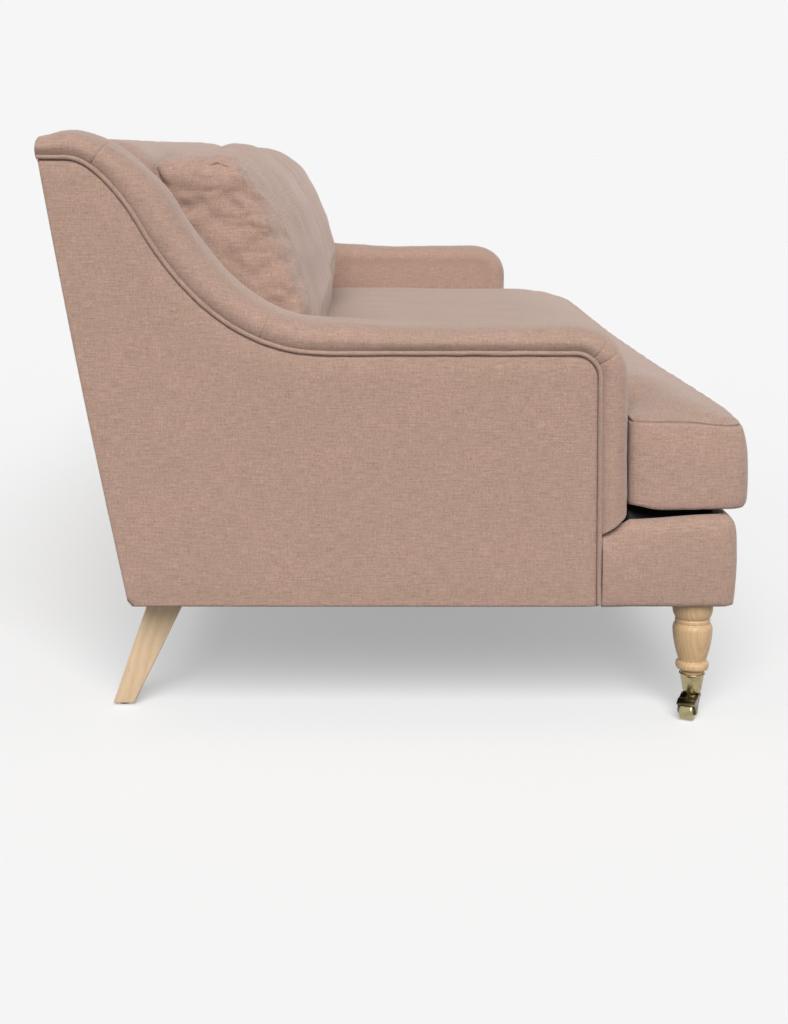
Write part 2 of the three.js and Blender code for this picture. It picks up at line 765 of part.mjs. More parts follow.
function seatCushion() {
  const earShares = [0.74, 0.36];
  const mainShares = [0.96, 0.9, 0.79, 0.64, 0.45, 0.23];
  const half = [
    seatEar,
    ...earShares.map((share) => seatHalf + share * (seatEar - seatHalf)),
    seatHalf,
    ...mainShares.map((share) => share * seatHalf),
  ];
  const xs = [...half.map((x) => -x), 0, ...half.reverse()];
  const frontShares = [0, 0.11, 0.36, 0.7];
  const middleShares = [0, 0.09, 0.22, 0.44, 0.72, 1];
  const rearShares = [0.45, 0.82, 1];
  const ys = [
    ...frontShares.map((share) => THREE.MathUtils.lerp(seatFront, earRearY, share)),
    ...middleShares.map((share) => THREE.MathUtils.lerp(earRearY, cushionFootY, share)),
    ...rearShares.map((share) => THREE.MathUtils.lerp(cushionFootY, seatRear, share)),
  ];
  const rows = ys.length;
  const inside = (i, j) => {
    const midX = Math.abs(xs[i] + xs[i + 1]) / 2;
    const midY = (ys[j] + ys[j + 1]) / 2;
    return midY < earRearY || midX < seatHalf;
  };
  const key = (i, j) => i * rows + j;
  const cells = [];
  const edges = new Map();
  for (let i = 0; i + 1 < xs.length; i += 1) {
    for (let j = 0; j + 1 < rows; j += 1) {
      if (!inside(i, j)) continue;
      const corners = [key(i, j), key(i + 1, j), key(i + 1, j + 1), key(i, j + 1)];
      cells.push(corners);
      corners.forEach((a, k) => {
        const b = corners[(k + 1) % 4];
        if (!edges.delete(`${b},${a}`)) edges.set(`${a},${b}`, [a, b]);
      });
    }
  }
  const nextOf = new Map(edges.values());
  const rim = [edges.values().next().value[0]];
  while (nextOf.get(rim[rim.length - 1]) !== rim[0]) rim.push(nextOf.get(rim[rim.length - 1]));
  const flat = (id) => at(xs[Math.floor(id / rows)], ys[id % rows]);

  // The rim is drawn in between its corners and rounded at them
  const rimPoints = rim.map((id, k) => {
    const p = flat(id);
    const before = flat(rim[(k + rim.length - 1) % rim.length]);
    const after = flat(rim[(k + 1) % rim.length]);
    const into = p.clone().sub(before).normalize();
    const onward = after.clone().sub(p).normalize();
    const inward = at(-into.y - onward.y, into.x + onward.x).normalize();
    const bend = into.cross(onward);
    const bay = Math.min(...seatOutline.map((corner) => corner.distanceTo(p))) / seatCrownReach;
    const by = bend > 0 ? seatCornerRound * (Math.SQRT2 - 1) : seatDrawIn * ease(Math.min(bay, 1));
    const free = p.y < earRearY;
    return { id, inward, free, point: p.addScaledVector(inward, bend < 0 ? 0 : by) };
  });
  const points = [];
  const number = new Map();
  const place = (id, p, z) => {
    number.set(id, points.length);
    points.push(new THREE.Vector3(p.x, p.y, z));
  };
  rimPoints.forEach(({ id, point }) => place(id, point, seatSeamHeight));
  cells.flat().forEach((id) => {
    if (number.has(id)) return;
    const p = flat(id);
    place(id, p, seatHeightAt(p));
  });
  const order = [];
  cells.forEach((corners) => {
    const [a, b, c, d] = corners.map((id) => number.get(id));
    order.push(a, b, c, a, c, d);
  });
  const wallHeight = seatSeamHeight - deckTop - gap;
  const wallShares = [[0.86, 0.55], [0.53, 1], [0.2, 0.75], [0.05, 0]];
  const levels = wallShares.map(([share, swell]) => [deckTop + gap + share * wallHeight, seatBulge * swell]);
  levels.push([deckTop + gap, -seatBottomRound]);
  const count = rim.length;
  let upper = rimPoints.map((_, k) => k);
  levels.forEach(([z, swell]) => {
    const lower = rimPoints.map(({ point, inward, free }) => {
      const p = point.clone().addScaledVector(inward, free ? -swell : Math.max(-swell, 0));
      points.push(new THREE.Vector3(p.x, p.y, z));
      return points.length - 1;
    });
    for (let k = 0; k < count; k += 1) {
      const n = (k + 1) % count;
      order.push(upper[k], lower[k], lower[n], upper[k], lower[n], upper[n]);
    }
    upper = lower;
  });
  const bottom = upper.map((i) => points[i]);
  capOf(bottom).forEach(([a, b, c]) => order.push(upper[a], upper[c], upper[b]));
  return fromIndexed(points, order);
}

add('seat_cushion', seatCushion(), cloth);

// Back cushions: outline of the end panel, as shares of the thickness in front of the back and of the height,
// with the share of the crown that each point gains at mid width
const cushionShares = [
  { forward: 0, up: 0.03, crown: 0 },
  { forward: 0, up: 0.3, crown: 0 },
  { forward: 0, up: 0.62, crown: 0 },
  { forward: 0, up: 0.95, crown: 0 },
  { forward: 0.07, up: 0.99, crown: 0.3 },
  { forward: 0.28, up: 1, crown: 0.38 },
  { forward: 0.5, up: 0.995, crown: 0.45 },
  { forward: 0.62, up: 0.955, crown: 0.6 },
  { forward: 0.73, up: 0.86, crown: 0.86 },
  { forward: 0.81, up: 0.7, crown: 1 },
  { forward: 0.89, up: 0.5, crown: 0.95 },
  { forward: 0.945, up: 0.3, crown: 0.78 },
  { forward: 0.96, up: 0.15, crown: 0.45 },
  { forward: 0.93, up: 0.05, crown: 0.2 },
  { forward: cushionFootShare, up: 0, crown: 0 },
  { forward: 0.5, up: 0, crown: 0 },
  { forward: 0.08, up: 0, crown: 0 },
];
const stationShares = [1, 0.975, 0.9, 0.77, 0.58, 0.36, 0.12];

function backCushion() {
  const inner = backCushionMiddleGap / 2;
  const outer = backHalf - backCushionSideClearance;
  const middle = (inner + outer) / 2;
  const half = (outer - inner) / 2;
  const base = seatHeightAt(at(middle, cushionFootY)) + gap;
  const ends = cushionShares.map(({ forward, up }) => {
    const z = base + up * backCushionHeight;
    return at(backFaceAt(z) - gap - forward * backCushionThickness, z);
  });
  const ring = (share, inset) => {
    const swell = 1 - Math.abs(share) ** backCushionSwellPower;
    return ends.map((p, i) => {
      const before = ends[(i + ends.length - 1) % ends.length];
      const after = ends[(i + 1) % ends.length];
      const tangent = after.clone().sub(before).normalize();
      const isTop = cushionShares[i].up > 0.9;
      const reach = swell * cushionShares[i].crown * (isTop ? backCushionTopCrown : backCushionCrown);
      const q = p.clone().addScaledVector(at(tangent.y, -tangent.x), reach);
      return new THREE.Vector3(middle + share * (half - inset), q.x, q.y);
    });
  };
  const centre = ends.reduce((sum, p) => sum.add(p), at(0, 0)).divideScalar(ends.length);
  const stations = [...stationShares, ...stationShares.map((share) => -share).reverse()];
  const rings = stations.map((share) => ring(share, 0));
  const drawn = (share) =>
    ring(share, backCushionEndDraw).map((p) => {
      const q = at(p.y, p.z).lerp(centre, cushionEndFaceShare);
      return new THREE.Vector3(p.x, q.x, q.y);
    });
  return loft([drawn(1), ...rings, drawn(-1)]);
}
addPair('back_cushion', backCushion(), cloth);

// Front legs: turned, from [share of the leg's radius, share of the base height] pairs
const legX = width / 2 - legInset;
const legY = frontY + legSetback;
const legTop = baseBottom - gap;
const legShares = [
  [1, 0.93], [0.955, 0.885], [0.875, 0.853], [0.83, 0.845], [0.857, 0.836], [0.865, 0.818], [0.845, 0.803],
  [0.92, 0.79], [0.972, 0.765], [0.977, 0.735], [0.94, 0.668], [0.842, 0.578], [0.693, 0.488],
  [0.687, 0.478], [0.787, 0.465], [0.817, 0.44], [0.787, 0.415], [0.66, 0.399], [0.54, 0.391],
];
const cupTaper = (z) => THREE.MathUtils.mapLinear(z, cupBottom, cupHeight, cupFootRadius, cupLipRadius);
const legNeck = (z) => cupTaper(z) - 2 * cupWall - gap;
const legProfile = [
  [0, legTop],
  [legRadius, legTop],
  ...legShares.map(([r, z]) => [r * legRadius, z * baseBottom]),
  [legNeck(cupHeight), cupHeight],
  [legNeck(legEndHeight), legEndHeight],
  [0, legEndHeight],
];
const standing = (geometry) => geometry.translate(legX, legY, 0);
addPair('front_leg', standing(turned(legProfile, turnedSides)), wood);

// Castor cup round the end of the leg
const cupFloorTop = cupBottom + cupFloor;
const cupInside = (z) => legNeck(z) + gap;
const cupProfile = [
  [pinRadius + gap, cupBottom],
  [cupFootRadius, cupBottom],
  [cupTaper(cupHeight) - cupWall, cupHeight - 2 * cupWall],
  [cupLipRadius, cupHeight - cupWall],
  [cupLipRadius, cupHeight],
  [cupInside(cupHeight), cupHeight],
  [cupInside(legEndHeight), legEndHeight - gap],
  [headRoom, legEndHeight - gap],
  [headRoom, cupFloorTop],
  [pinRadius + gap, cupFloorTop],
  [pinRadius + gap, cupBottom],
];
addPair('castor_cup', standing(turned(cupProfile, castorSides)), brass);

// Castor fork: plate with its kingpin, hood over the wheel and two cheeks, seen with the trail along +X
const forkTop = cupBottom - gap;
const forkPlateBottom = forkTop - forkPlateHeight;
const forkInner = wheelWidth / 2 + wheelSideGap;
const forkOuter = forkInner + forkCheek;
const pinHeadZ = cupFloorTop + gap;

const across = (outline, from, to) => {
  const geometry = new THREE.ExtrudeGeometry(new THREE.Shape(outline), { depth: to - from, bevelEnabled: false });
  return geometry.translate(0, 0, from).rotateX(Math.PI / 2);
};
const arc = (radius, fromDegrees, toDegrees, steps) =>
  Array.from({ length: steps + 1 }, (_, i) => {
    const angle = THREE.MathUtils.degToRad(fromDegrees + ((toDegrees - fromDegrees) * i) / steps);
    return at(wheelTrail + radius * Math.cos(angle), wheelRadius + radius * Math.sin(angle));
  });

function forkGeometry() {
  const hoodInner = wheelRadius + hoodGap;
  const hoodOuter = hoodInner + hoodThickness;
  const plateRadius = cupFootRadius;
  const hood = [
    ...arc(hoodOuter, hoodFrontAngle, hoodTopAngle, hoodSteps),
    at(plateRadius / 2, forkTop),
    at(plateRadius / 2, forkPlateBottom),
    ...arc(hoodInner, hoodRootAngle, hoodFrontAngle, hoodSteps + 1),
  ];
  const cheek = [
    ...arc(cheekBossRadius, cheekBossStart, cheekBossEnd, hoodSteps + 1),
    ...arc(hoodOuter, cheekTopAngle, hoodTopAngle, cheekSteps),
    at(plateRadius / 2, forkTop),
    at(plateRadius / 4, forkPlateBottom),
  ];
  const pin = [
    [0, forkPlateBottom],
    [plateRadius, forkPlateBottom],
    [plateRadius, forkTop - cupWall],
    [plateRadius - cupWall, forkTop],
    [pinRadius, forkTop],
    [pinRadius, pinHeadZ],
    [pinHeadRadius, pinHeadZ],
    [pinHeadRadius / 2, pinHeadZ + pinHeadHeight],
    [0, pinHeadZ + pinHeadHeight],
  ];
  const hole = arc(axleRadius + gap, 0, 360, castorSides / 2).slice(0, -1);
  return meshOf(
    solid(across(hood, -forkOuter, forkOuter))
      .add(solid(across(cheek, forkInner, forkOuter)))
      .add(solid(across(cheek, -forkOuter, -forkInner)))
      .add(solid(turned(pin, castorSides)))
      .subtract(solid(across(hole, -forkOuter - gap, forkOuter + gap))),
  );
}
const trailing = (geometry) => standing(geometry.rotateZ(castorYaw));
addPair('castor_fork', trailing(forkGeometry()), brass);

// Castor wheel and its riveted axle
const onAxle = (profile) => {
  const points = profile.map(([r, x]) => new THREE.Vector2(r, x));
  const round = new THREE.LatheGeometry(points, castorSides).translate(wheelTrail, 0, wheelRadius);
  return outward(bare(round));
};
const wheelHalf = wheelWidth / 2;
const wheelShares = [[0.66, 1], [0.7, 0.94], [0.86, 0.97], [0.95, 0.91], [1, 0.76]];
const wheelSide = wheelShares.map(([r, x]) => [r * wheelRadius, x * wheelHalf]);
const wheelProfile = [
  [axleRadius + gap, -wheelHalf],
  ...wheelSide.map(([r, x]) => [r, -x]),
  ...[...wheelSide].reverse(),
  [axleRadius + gap, wheelHalf],
  [axleRadius + gap, -wheelHalf],
];
addPair('castor_wheel', trailing(onAxle(wheelProfile)), brass);
const axleHead = forkOuter + gap;
const axleSide = [
  [axleRadius, axleHead],
  [axleHeadRadius, axleHead],
  [axleHeadRadius / 2, axleHead + axleHeadHeight],
  [0, axleHead + axleHeadHeight],
];
const axleProfile = [...axleSide.map(([r, x]) => [r, -x]).reverse(), ...axleSide];
addPair('castor_axle', trailing(onAxle(axleProfile)), brass);

// Rear legs: flat, tapered and splayed to the back
const rearLegTopBack = rearAt(baseBottom) - rearLegTopSetback;
const rearLegFootBack = rearLegTopBack + rearLegSplay;
const rearLegX = width / 2 - rearLegInset;
const rectangle = (outerX, innerX, front, back, z) => [
  new THREE.Vector3(innerX, front, z),
  new THREE.Vector3(outerX, front, z),
  new THREE.Vector3(outerX, back, z),
  new THREE.Vector3(innerX, back, z),
];
const rearLeg = loft([
  rectangle(
    rearLegX,
    rearLegX - rearLegFootThickness,
    rearLegFootBack - rearLegFootDepth,
    rearLegFootBack,
    glideHeight + gap,
  ),
  rectangle(rearLegX, rearLegX - rearLegTopThickness, rearLegTopBack - rearLegTopDepth, rearLegTopBack, legTop),
]);
addPair('rear_leg', rearLeg, wood);
const glideProfile = [
  [0, 0],
  [glideRadius - glideHeight / 2, 0],
  [glideRadius, glideHeight / 2],
  [glideRadius, glideHeight],
  [0, glideHeight],
];
const glide = turned(glideProfile, castorSides).translate(
  rearLegX - rearLegFootThickness / 2,
  rearLegFootBack - rearLegFootDepth / 2,
  0,
);
addPair('rear_glide', glide, nylon);

export default sofa;
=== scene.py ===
"""English roll arm sofa: the look of every piece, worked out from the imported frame. Metres."""

import functools
import json
import math

import bmesh
import bpy
import numpy as np
from mathutils import Matrix, Vector
from mathutils.geometry import delaunay_2d_cdt


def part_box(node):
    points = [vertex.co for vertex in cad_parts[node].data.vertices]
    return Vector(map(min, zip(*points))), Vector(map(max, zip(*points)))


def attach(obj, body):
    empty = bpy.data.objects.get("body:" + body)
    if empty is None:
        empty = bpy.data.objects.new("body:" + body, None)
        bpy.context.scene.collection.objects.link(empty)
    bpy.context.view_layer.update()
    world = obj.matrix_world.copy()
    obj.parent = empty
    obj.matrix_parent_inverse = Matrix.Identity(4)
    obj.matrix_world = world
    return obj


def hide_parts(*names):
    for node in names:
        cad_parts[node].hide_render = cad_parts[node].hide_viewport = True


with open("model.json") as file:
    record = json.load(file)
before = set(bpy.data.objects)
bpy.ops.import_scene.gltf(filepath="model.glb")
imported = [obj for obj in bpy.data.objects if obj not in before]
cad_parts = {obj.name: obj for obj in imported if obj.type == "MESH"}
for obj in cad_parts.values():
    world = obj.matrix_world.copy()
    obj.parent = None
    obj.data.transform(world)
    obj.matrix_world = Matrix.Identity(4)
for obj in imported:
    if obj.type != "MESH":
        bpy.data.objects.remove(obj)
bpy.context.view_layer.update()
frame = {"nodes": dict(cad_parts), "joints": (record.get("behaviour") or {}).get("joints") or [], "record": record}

MM = 0.001
UV_NAME = "weave"
SIDE_NAMES = {1: "right", -1: "left"}

# Camera, from the photograph's perspective, as pixels of its 788 by 1024 frame
PHOTO_WIDTH, PHOTO_HEIGHT = 788, 1024
FOCAL_PX = 1668.2
CENTRE_X, CENTRE_Y = 352.3, 221.9
EYE = Vector((-3.5046, 0.0651, 0.8523))
TILT_DOWN, TURN, ROLL = 2.5, -0.097, 0.057
SENSOR_MM = 36

# Light and ground
BACKGROUND = 0.921
SKY_TOP, SKY_RISE = 0.13, 1.6
LAMP_LEVEL, LAMP_HEIGHT, LAMP_SIZE = 1.0, 40, 40
FLOOR_SIZE = 400
FLOOR_BOUNCE = 0.12
FLOOR_GLOW = 0.37

# Cloth
CLOTH_THICKNESS = 1.5 * MM
LINEN_PINK = (0.390, 0.255, 0.202)
LINEN_TAN = (0.375, 0.250, 0.192)
SHEEN_TINT = (1.0, 0.89, 0.84)
# The threads of the weave, as lumps per metre along both axes, detail and weight in the relief
LINEN_THREADS = (
    ((48, 460, 1), 2.0, 1.25),
    ((430, 48, 1), 2.0, 0.75),
    ((260, 900, 1), 1.0, 1.0),
    ((850, 200, 1), 1.0, 1.0),
)


# Noise and smooth lines

GRID_CELLS = 32


@functools.lru_cache(maxsize=None)
def random_grid(seed):
    return np.random.default_rng(seed).uniform(-1, 1, (GRID_CELLS,) * 3)


def cloud(points, size, seed):
    """Smooth noise from -1 to 1, with lumps of a size, or of one size along each axis."""
    grid = random_grid(seed)
    points = np.column_stack((points, np.zeros((len(points), 3 - points.shape[1]))))
    place = points / size
    cell = np.floor(place).astype(int)
    share = place - cell
    share = share * share * (3 - 2 * share)
    total = np.zeros(len(place))
    for corner in np.ndindex(2, 2, 2):
        weight = np.prod(np.where(corner, share, 1 - share), axis=1)
        total += weight * grid[tuple(((cell + corner) % GRID_CELLS).T)]
    return total


def clouds(points, seed, *layers):
    """Layers of noise, each given as a height and a size, with seeds that count up."""
    return sum(height * cloud(points, size, seed + i) for i, (height, size) in enumerate(layers))


def smoothstep(low, high, value):
    t = np.clip((value - low) / (high - low), 0, 1)
    return t * t * (3 - 2 * t)


def bump(offset, half_width):
    """A smooth hump of height 1 round zero."""
    return np.exp(-((offset / half_width) ** 2))


def quarter_round(apart, radius):
    """How far a rounded edge falls back at a distance from the border."""
    return radius * (1 - np.sqrt(np.clip(1 - np.clip(1 - apart / radius, 0, 1) ** 2, 0, 1)))


def unit_rows(vectors):
    return vectors / (np.linalg.norm(vectors, axis=1)[:, None] + 1e-12)


def table(pairs, value):
    """The value's partner in a table of pairs, in between too."""
    return np.interp(value, *np.array(pairs).T)


def smooth_line(points, step, straight=0.06):
    """Points about a step apart on a smooth curve through the given ones. Long spans stay straight."""
    given = [np.asarray(points[0], float)]
    for target in np.asarray(points, float)[1:]:
        span = np.linalg.norm(target - given[-1])
        parts = int(math.ceil(span / (straight / 4))) if span > straight else 1
        given.extend(np.linspace(given[-1], target, parts + 1)[1:])
    given = np.array(given)
    knots = np.vstack((2 * given[0] - given[1], given, 2 * given[-1] - given[-2]))
    made = []
    for a, b, c, d in zip(knots[:-3], knots[1:-2], knots[2:-1], knots[3:]):
        ta = np.linalg.norm(b - a) ** 0.5
        tb = ta + np.linalg.norm(c - b) ** 0.5
        tc = tb + np.linalg.norm(d - c) ** 0.5
        count = max(int(math.ceil(np.linalg.norm(c - b) / step)), 1)
        for t in np.linspace(ta, tb, count, endpoint=False):
            ab = a + (b - a) * (t / ta)
            bc = b + (c - b) * ((t - ta) / (tb - ta))
            cd = c + (d - c) * ((t - tb) / (tc - tb))
            abc = ab + (bc - ab) * (t / tb)
            bcd = bc + (cd - bc) * ((t - ta) / (tc - ta))
            made.append(abc + (bcd - abc) * ((t - ta) / (tb - ta)))
    made.append(given[-1])
    return np.array(made)


def lengths_along(line):
    return np.concatenate(([0], np.cumsum(np.linalg.norm(np.diff(line, axis=0), axis=1))))


def closed_line(loop):
    return np.vstack((loop, loop[:1]))


def resampled(line, places):
    """The line's points at these lengths along it."""
    at = lengths_along(line)
    return np.stack([np.interp(places, at, column) for column in line.T], axis=1)


def corner_arc(start, corner, end, parts):
    """A round corner from start to end that leans on the corner point."""
    t = np.linspace(0, 1, parts + 1)[:, None]
    return (1 - t) ** 2 * start + 2 * t * (1 - t) * corner + t**2 * end


def rounded_loop(points, radii, step):
    """A closed outline with its corners rounded, as points about a step apart."""
    arcs = []
    for i, (corner, radius) in enumerate(zip(points, radii)):
        into, onward = unit_rows(np.array((corner - points[i - 1], points[(i + 1) % len(points)] - corner)))
        parts = max(int(radius * 1.6 / step), 3)
        arcs.append(corner_arc(corner - into * radius, corner, corner + onward * radius, parts))
    made = closed_line(np.vstack(arcs))
    total = lengths_along(made)[-1]
    return resampled(made, np.linspace(0, total, int(total / step), endpoint=False))


# Reading the frame

def read(items, attribute, columns=1, kind=float):
    """One attribute of all a mesh's points, edges or faces."""
    found = np.zeros(len(items) * columns, kind)
    items.foreach_get(attribute, found)
    return found.reshape(-1, columns) if columns > 1 else found


def node_points(node):
    return np.round(read(frame["nodes"][node].data.vertices, "co", 3), 5)


def corners(node):
    """The corner points of a CAD node, each once."""
    return np.unique(node_points(node), axis=0)


def outline_of(node, axis, high=True):
    """The outline of the node's flat end along an axis, anticlockwise, as points of the other two axes."""
    points = node_points(node)
    level = points[:, axis].max() if high else points[:, axis].min()
    edges = set()
    for polygon in frame["nodes"][node].data.polygons:
        ring = points[list(polygon.vertices)]
        if (np.abs(ring[:, axis] - level) < MM / 50).all():
            flat = [tuple(p) for p in np.delete(ring, axis, axis=1)]
            for a, b in zip(flat, flat[1:] + flat[:1]):
                if (b, a) in edges:
                    edges.discard((b, a))
                else:
                    edges.add((a, b))
    following = dict(edges)
    start = max(following)
    loop = [start]
    while following[loop[-1]] != start:
        loop.append(following[loop[-1]])
    return anticlockwise(np.array(loop))


def body_of(node):
    return next(name for name, nodes in frame["record"]["behaviour"]["bodies"].items() if node in nodes)


def slot_of(node):
    return next(s["material_slot"] for s in frame["record"]["subparts"] if s["node"] == node)


# Outlines and faces

def grid_faces(rows, columns, closed=False, flip=False):
    """Quads between rows of points, joined round from the last column to the first when closed."""
    last = columns if closed else columns - 1
    r, c = np.meshgrid(np.arange(rows - 1), np.arange(last), indexing="ij")
    a = (r * columns + c).ravel()
    b = (r * columns + (c + 1) % columns).ravel()
    quads = np.stack((a, b, b + columns, a + columns), axis=1)
    return [tuple(quad) for quad in (quads[:, ::-1] if flip else quads)]


def tube_faces(rows, columns, flip=False):
    """Quads round a tube made of rings, with a flat face on both ends."""
    first, last = tuple(range(columns)), tuple((rows - 1) * columns + i for i in range(columns))
    ends = [first, last[::-1]] if flip else [first[::-1], last]
    return grid_faces(rows, columns, closed=True, flip=flip) + ends


def mirrored(points, faces, side):
    """The right-hand form as it is, or turned into the left-hand one."""
    if side > 0:
        return points, faces
    return points * np.array((-1, 1, 1)), [tuple(face)[::-1] for face in faces]


def line_distance(points, line):
    """Each point's distance to a line."""
    found = np.full(len(points), np.inf)
    for a, b in zip(line[:-1], line[1:]):
        along = b - a
        t = np.clip(((points - a) @ along) / max(along @ along, 1e-12), 0, 1)
        found = np.minimum(found, np.linalg.norm(points - (a + t[:, None] * along), axis=1))
    return found


def nearest_of(points, known):
    """For each point the index of the nearest known one, and how far that is."""
    apart = np.linalg.norm(points[:, None] - known[None], axis=2)
    return apart.argmin(axis=1), apart.min(axis=1)


def matched(points, known):
    """For each point the index of the same point among the known ones, or -1."""
    nearest, apart = nearest_of(points, known)
    return np.where(apart < MM / 50, nearest, -1)


def is_inside(points, loop):
    inside = np.zeros(len(points), bool)
    x, y = points.T
    for (ax, ay), (bx, by) in zip(loop, np.roll(loop, -1, axis=0)):
        crosses = (ay > y) != (by > y)
        at_x = ax + (y - ay) * (bx - ax) / (by - ay if by != ay else 1e-12)
        inside ^= crosses & (x < at_x)
    return inside


def anticlockwise(loop):
    x, y = loop.T
    return loop if np.sum(x * np.roll(y, -1) - np.roll(x, -1) * y) >= 0 else loop[::-1]


def loop_normals(loop):
    """Outward normals of an anticlockwise outline."""
    along = np.roll(loop, -1, axis=0) - np.roll(loop, 1, axis=0)
    return unit_rows(np.stack((along[:, 1], -along[:, 0]), axis=1))


def filled(loop, insets, spacing):
    """Triangles that fill an outline: rows of points beside the border, then an even field. Returns the
    points, the faces and each point's distance to the border. The border's points come first."""
    loop = anticlockwise(loop)
    border = closed_line(loop)
    groups = [loop]
    for inset in insets:
        row = loop - loop_normals(loop) * inset
        groups.append(row[(line_distance(row, border) > 0.97 * inset) & is_inside(row, loop)])
    low, high = loop.min(axis=0), loop.max(axis=0)
    across = np.arange(low[0], high[0] + spacing, spacing)
    up = np.arange(low[1], high[1] + spacing, spacing * math.sqrt(3) / 2)
    field = np.array([(x + (spacing / 2 if i % 2 else 0), y) for i, y in enumerate(up) for x in across])
    field = field[is_inside(field, loop)]
    reach = insets[-1] if insets else 0
    groups.append(field[line_distance(field, border) > reach + 0.6 * spacing])
    count = len(loop)
    edges = [(i, (i + 1) % count) for i in range(count)]
    made = delaunay_2d_cdt([Vector(p) for p in np.vstack(groups)], edges, [], 1, 1e-7)
    points = np.array([(p.x, p.y) for p in made[0]])
    return points, made[2], line_distance(points, border)


def turned_towards(field, triangles, positive):
    """The triangles, all wound the same way round."""
    made = []
    for a, b, c in triangles:
        (ux, uy), (vx, vy) = field[b] - field[a], field[c] - field[a]
        made.append((a, b, c) if (ux * vy - uy * vx > 0) == positive else (a, c, b))
    return made


def used_only(points, faces, uvs):
    """Some of a mesh's faces, with only the points and cloth coordinates that they use."""
    used, numbers = np.unique(faces, return_inverse=True)
    return points[used], numbers.reshape(faces.shape), uvs[used]


def softened(values, reach):
    """Values round a closed loop, each averaged with its neighbours."""
    ring = np.concatenate((values[-reach:], values, values[:reach]))
    return np.convolve(ring, np.ones(2 * reach + 1) / (2 * reach + 1), "valid")


def spread(values, edges, is_loose, rounds):
    """Values at a mesh's points, the loose ones averaged with their neighbours a few times."""
    ends = np.unique(np.vstack((edges, edges[:, ::-1])), axis=0)
    number = np.maximum(np.bincount(ends[:, 0], minlength=len(values)), 1)
    for _ in range(rounds):
        around = np.bincount(ends[:, 0], values[ends[:, 1]], minlength=len(values)) / number
        values = np.where(is_loose, 0.5 * (values + around), values)
    return values


# Materials

class Tree:
    """A node tree, with short ways to add nodes. An input is a plain value or another node's output."""

    def __init__(self, owner):
        owner.use_nodes = True
        self.owner, self.nodes, self.links = owner, owner.node_tree.nodes, owner.node_tree.links

    def fill(self, node, inputs):
        for key, value in inputs.items():
            socket = node.inputs[key]
            if isinstance(value, bpy.types.NodeSocket):
                self.links.new(value, socket)
            elif socket.type == "RGBA":
                socket.default_value = (*value, 1)
            else:
                socket.default_value = value
        return node

    def add(self, kind, inputs=None, **settings):
        node = self.nodes.new("ShaderNode" + kind)
        for key, value in settings.items():
            setattr(node, key, value)
        return self.fill(node, inputs or {})

    def place(self):
        return self.add("TexCoord").outputs["Object"]

    def noise(self, source, scale, detail=2.0, turn=0.0):
        """Noise whose lumps per metre are given for each axis."""
        mapping = self.add("Mapping", {"Vector": source, "Scale": scale, "Rotation": (0, 0, turn)})
        inputs = {"Vector": mapping.outputs[0], "Scale": 1.0, "Detail": detail}
        return self.add("TexNoise", inputs).outputs["Fac"]

    def calc(self, operation, *values):
        return self.add("Math", dict(enumerate(values)), operation=operation).outputs[0]

    def ramp(self, source, low, high, first=0.0, last=1.0):
        inputs = {"Value": source, "From Min": low, "From Max": high, "To Min": first, "To Max": last}
        return self.add("MapRange", inputs).outputs["Result"]

    def mix(self, factor, a, b, kind="MIX"):
        """Two colours mixed. A colour mix node has its colours in the sockets 6 and 7 and gives output 2."""
        return self.add("Mix", {0: factor, 6: a, 7: b}, data_type="RGBA", blend_type=kind).outputs[2]

    def finish(self, height, strength, depth, inputs):
        """The surface's relief and the rest of its shader's inputs."""
        relief = self.add("Bump", {"Height": height, "Strength": strength, "Distance": depth})
        self.fill(self.nodes["Principled BSDF"], {"Normal": relief.outputs[0], **inputs})
        return self.owner

    def seen_directly(self):
        """1 for rays from the camera, from gloss and through glass, 0 for the light of the stage."""
        rays = self.add("LightPath").outputs
        seen = self.calc("MAXIMUM", rays["Is Camera Ray"], rays["Is Glossy Ray"])
        return self.calc("MAXIMUM", seen, rays["Is Transmission Ray"])


def tinted(colour, shade):
    return tuple(shade * part for part in colour)


def linen(name, turn=0.0, shade=1.0):
    """Plain weave with thick and thin threads, drawn on the cloth's own flat coordinates in metres."""
    tree = Tree(bpy.data.materials.new(name))
    noise = functools.partial(tree.noise, tree.add("UVMap", uv_map=UV_NAME).outputs["UV"], turn=turn)
    threads = -sum(weight for _, _, weight in LINEN_THREADS) / 2
    for scale, detail, weight in LINEN_THREADS:
        threads = tree.calc("MULTIPLY_ADD", noise(scale, detail), weight, threads)
    pink, tan = tinted(LINEN_PINK, shade), tinted(LINEN_TAN, shade)
    patches = tree.mix(tree.ramp(noise((9, 14, 1), 3.0), 0.36, 0.64), tan, pink)
    woven = tree.mix(1.0, patches, tree.calc("MULTIPLY_ADD", threads, 0.5, 1.0), "MULTIPLY")
    flecks = tree.ramp(noise((300, 420, 1), 1.0), 0.64, 0.76, 0.0, 0.5)
    return tree.finish(threads, 0.5, 0.6 * MM, {
        "Base Color": tree.mix(flecks, woven, tinted(pink, 0.55)),
        "Roughness": 0.9,
        "Specular IOR Level": 0.15,
        "Sheen Weight": 0.38,
        "Sheen Roughness": 0.56,
        "Sheen Tint": SHEEN_TINT,
    })


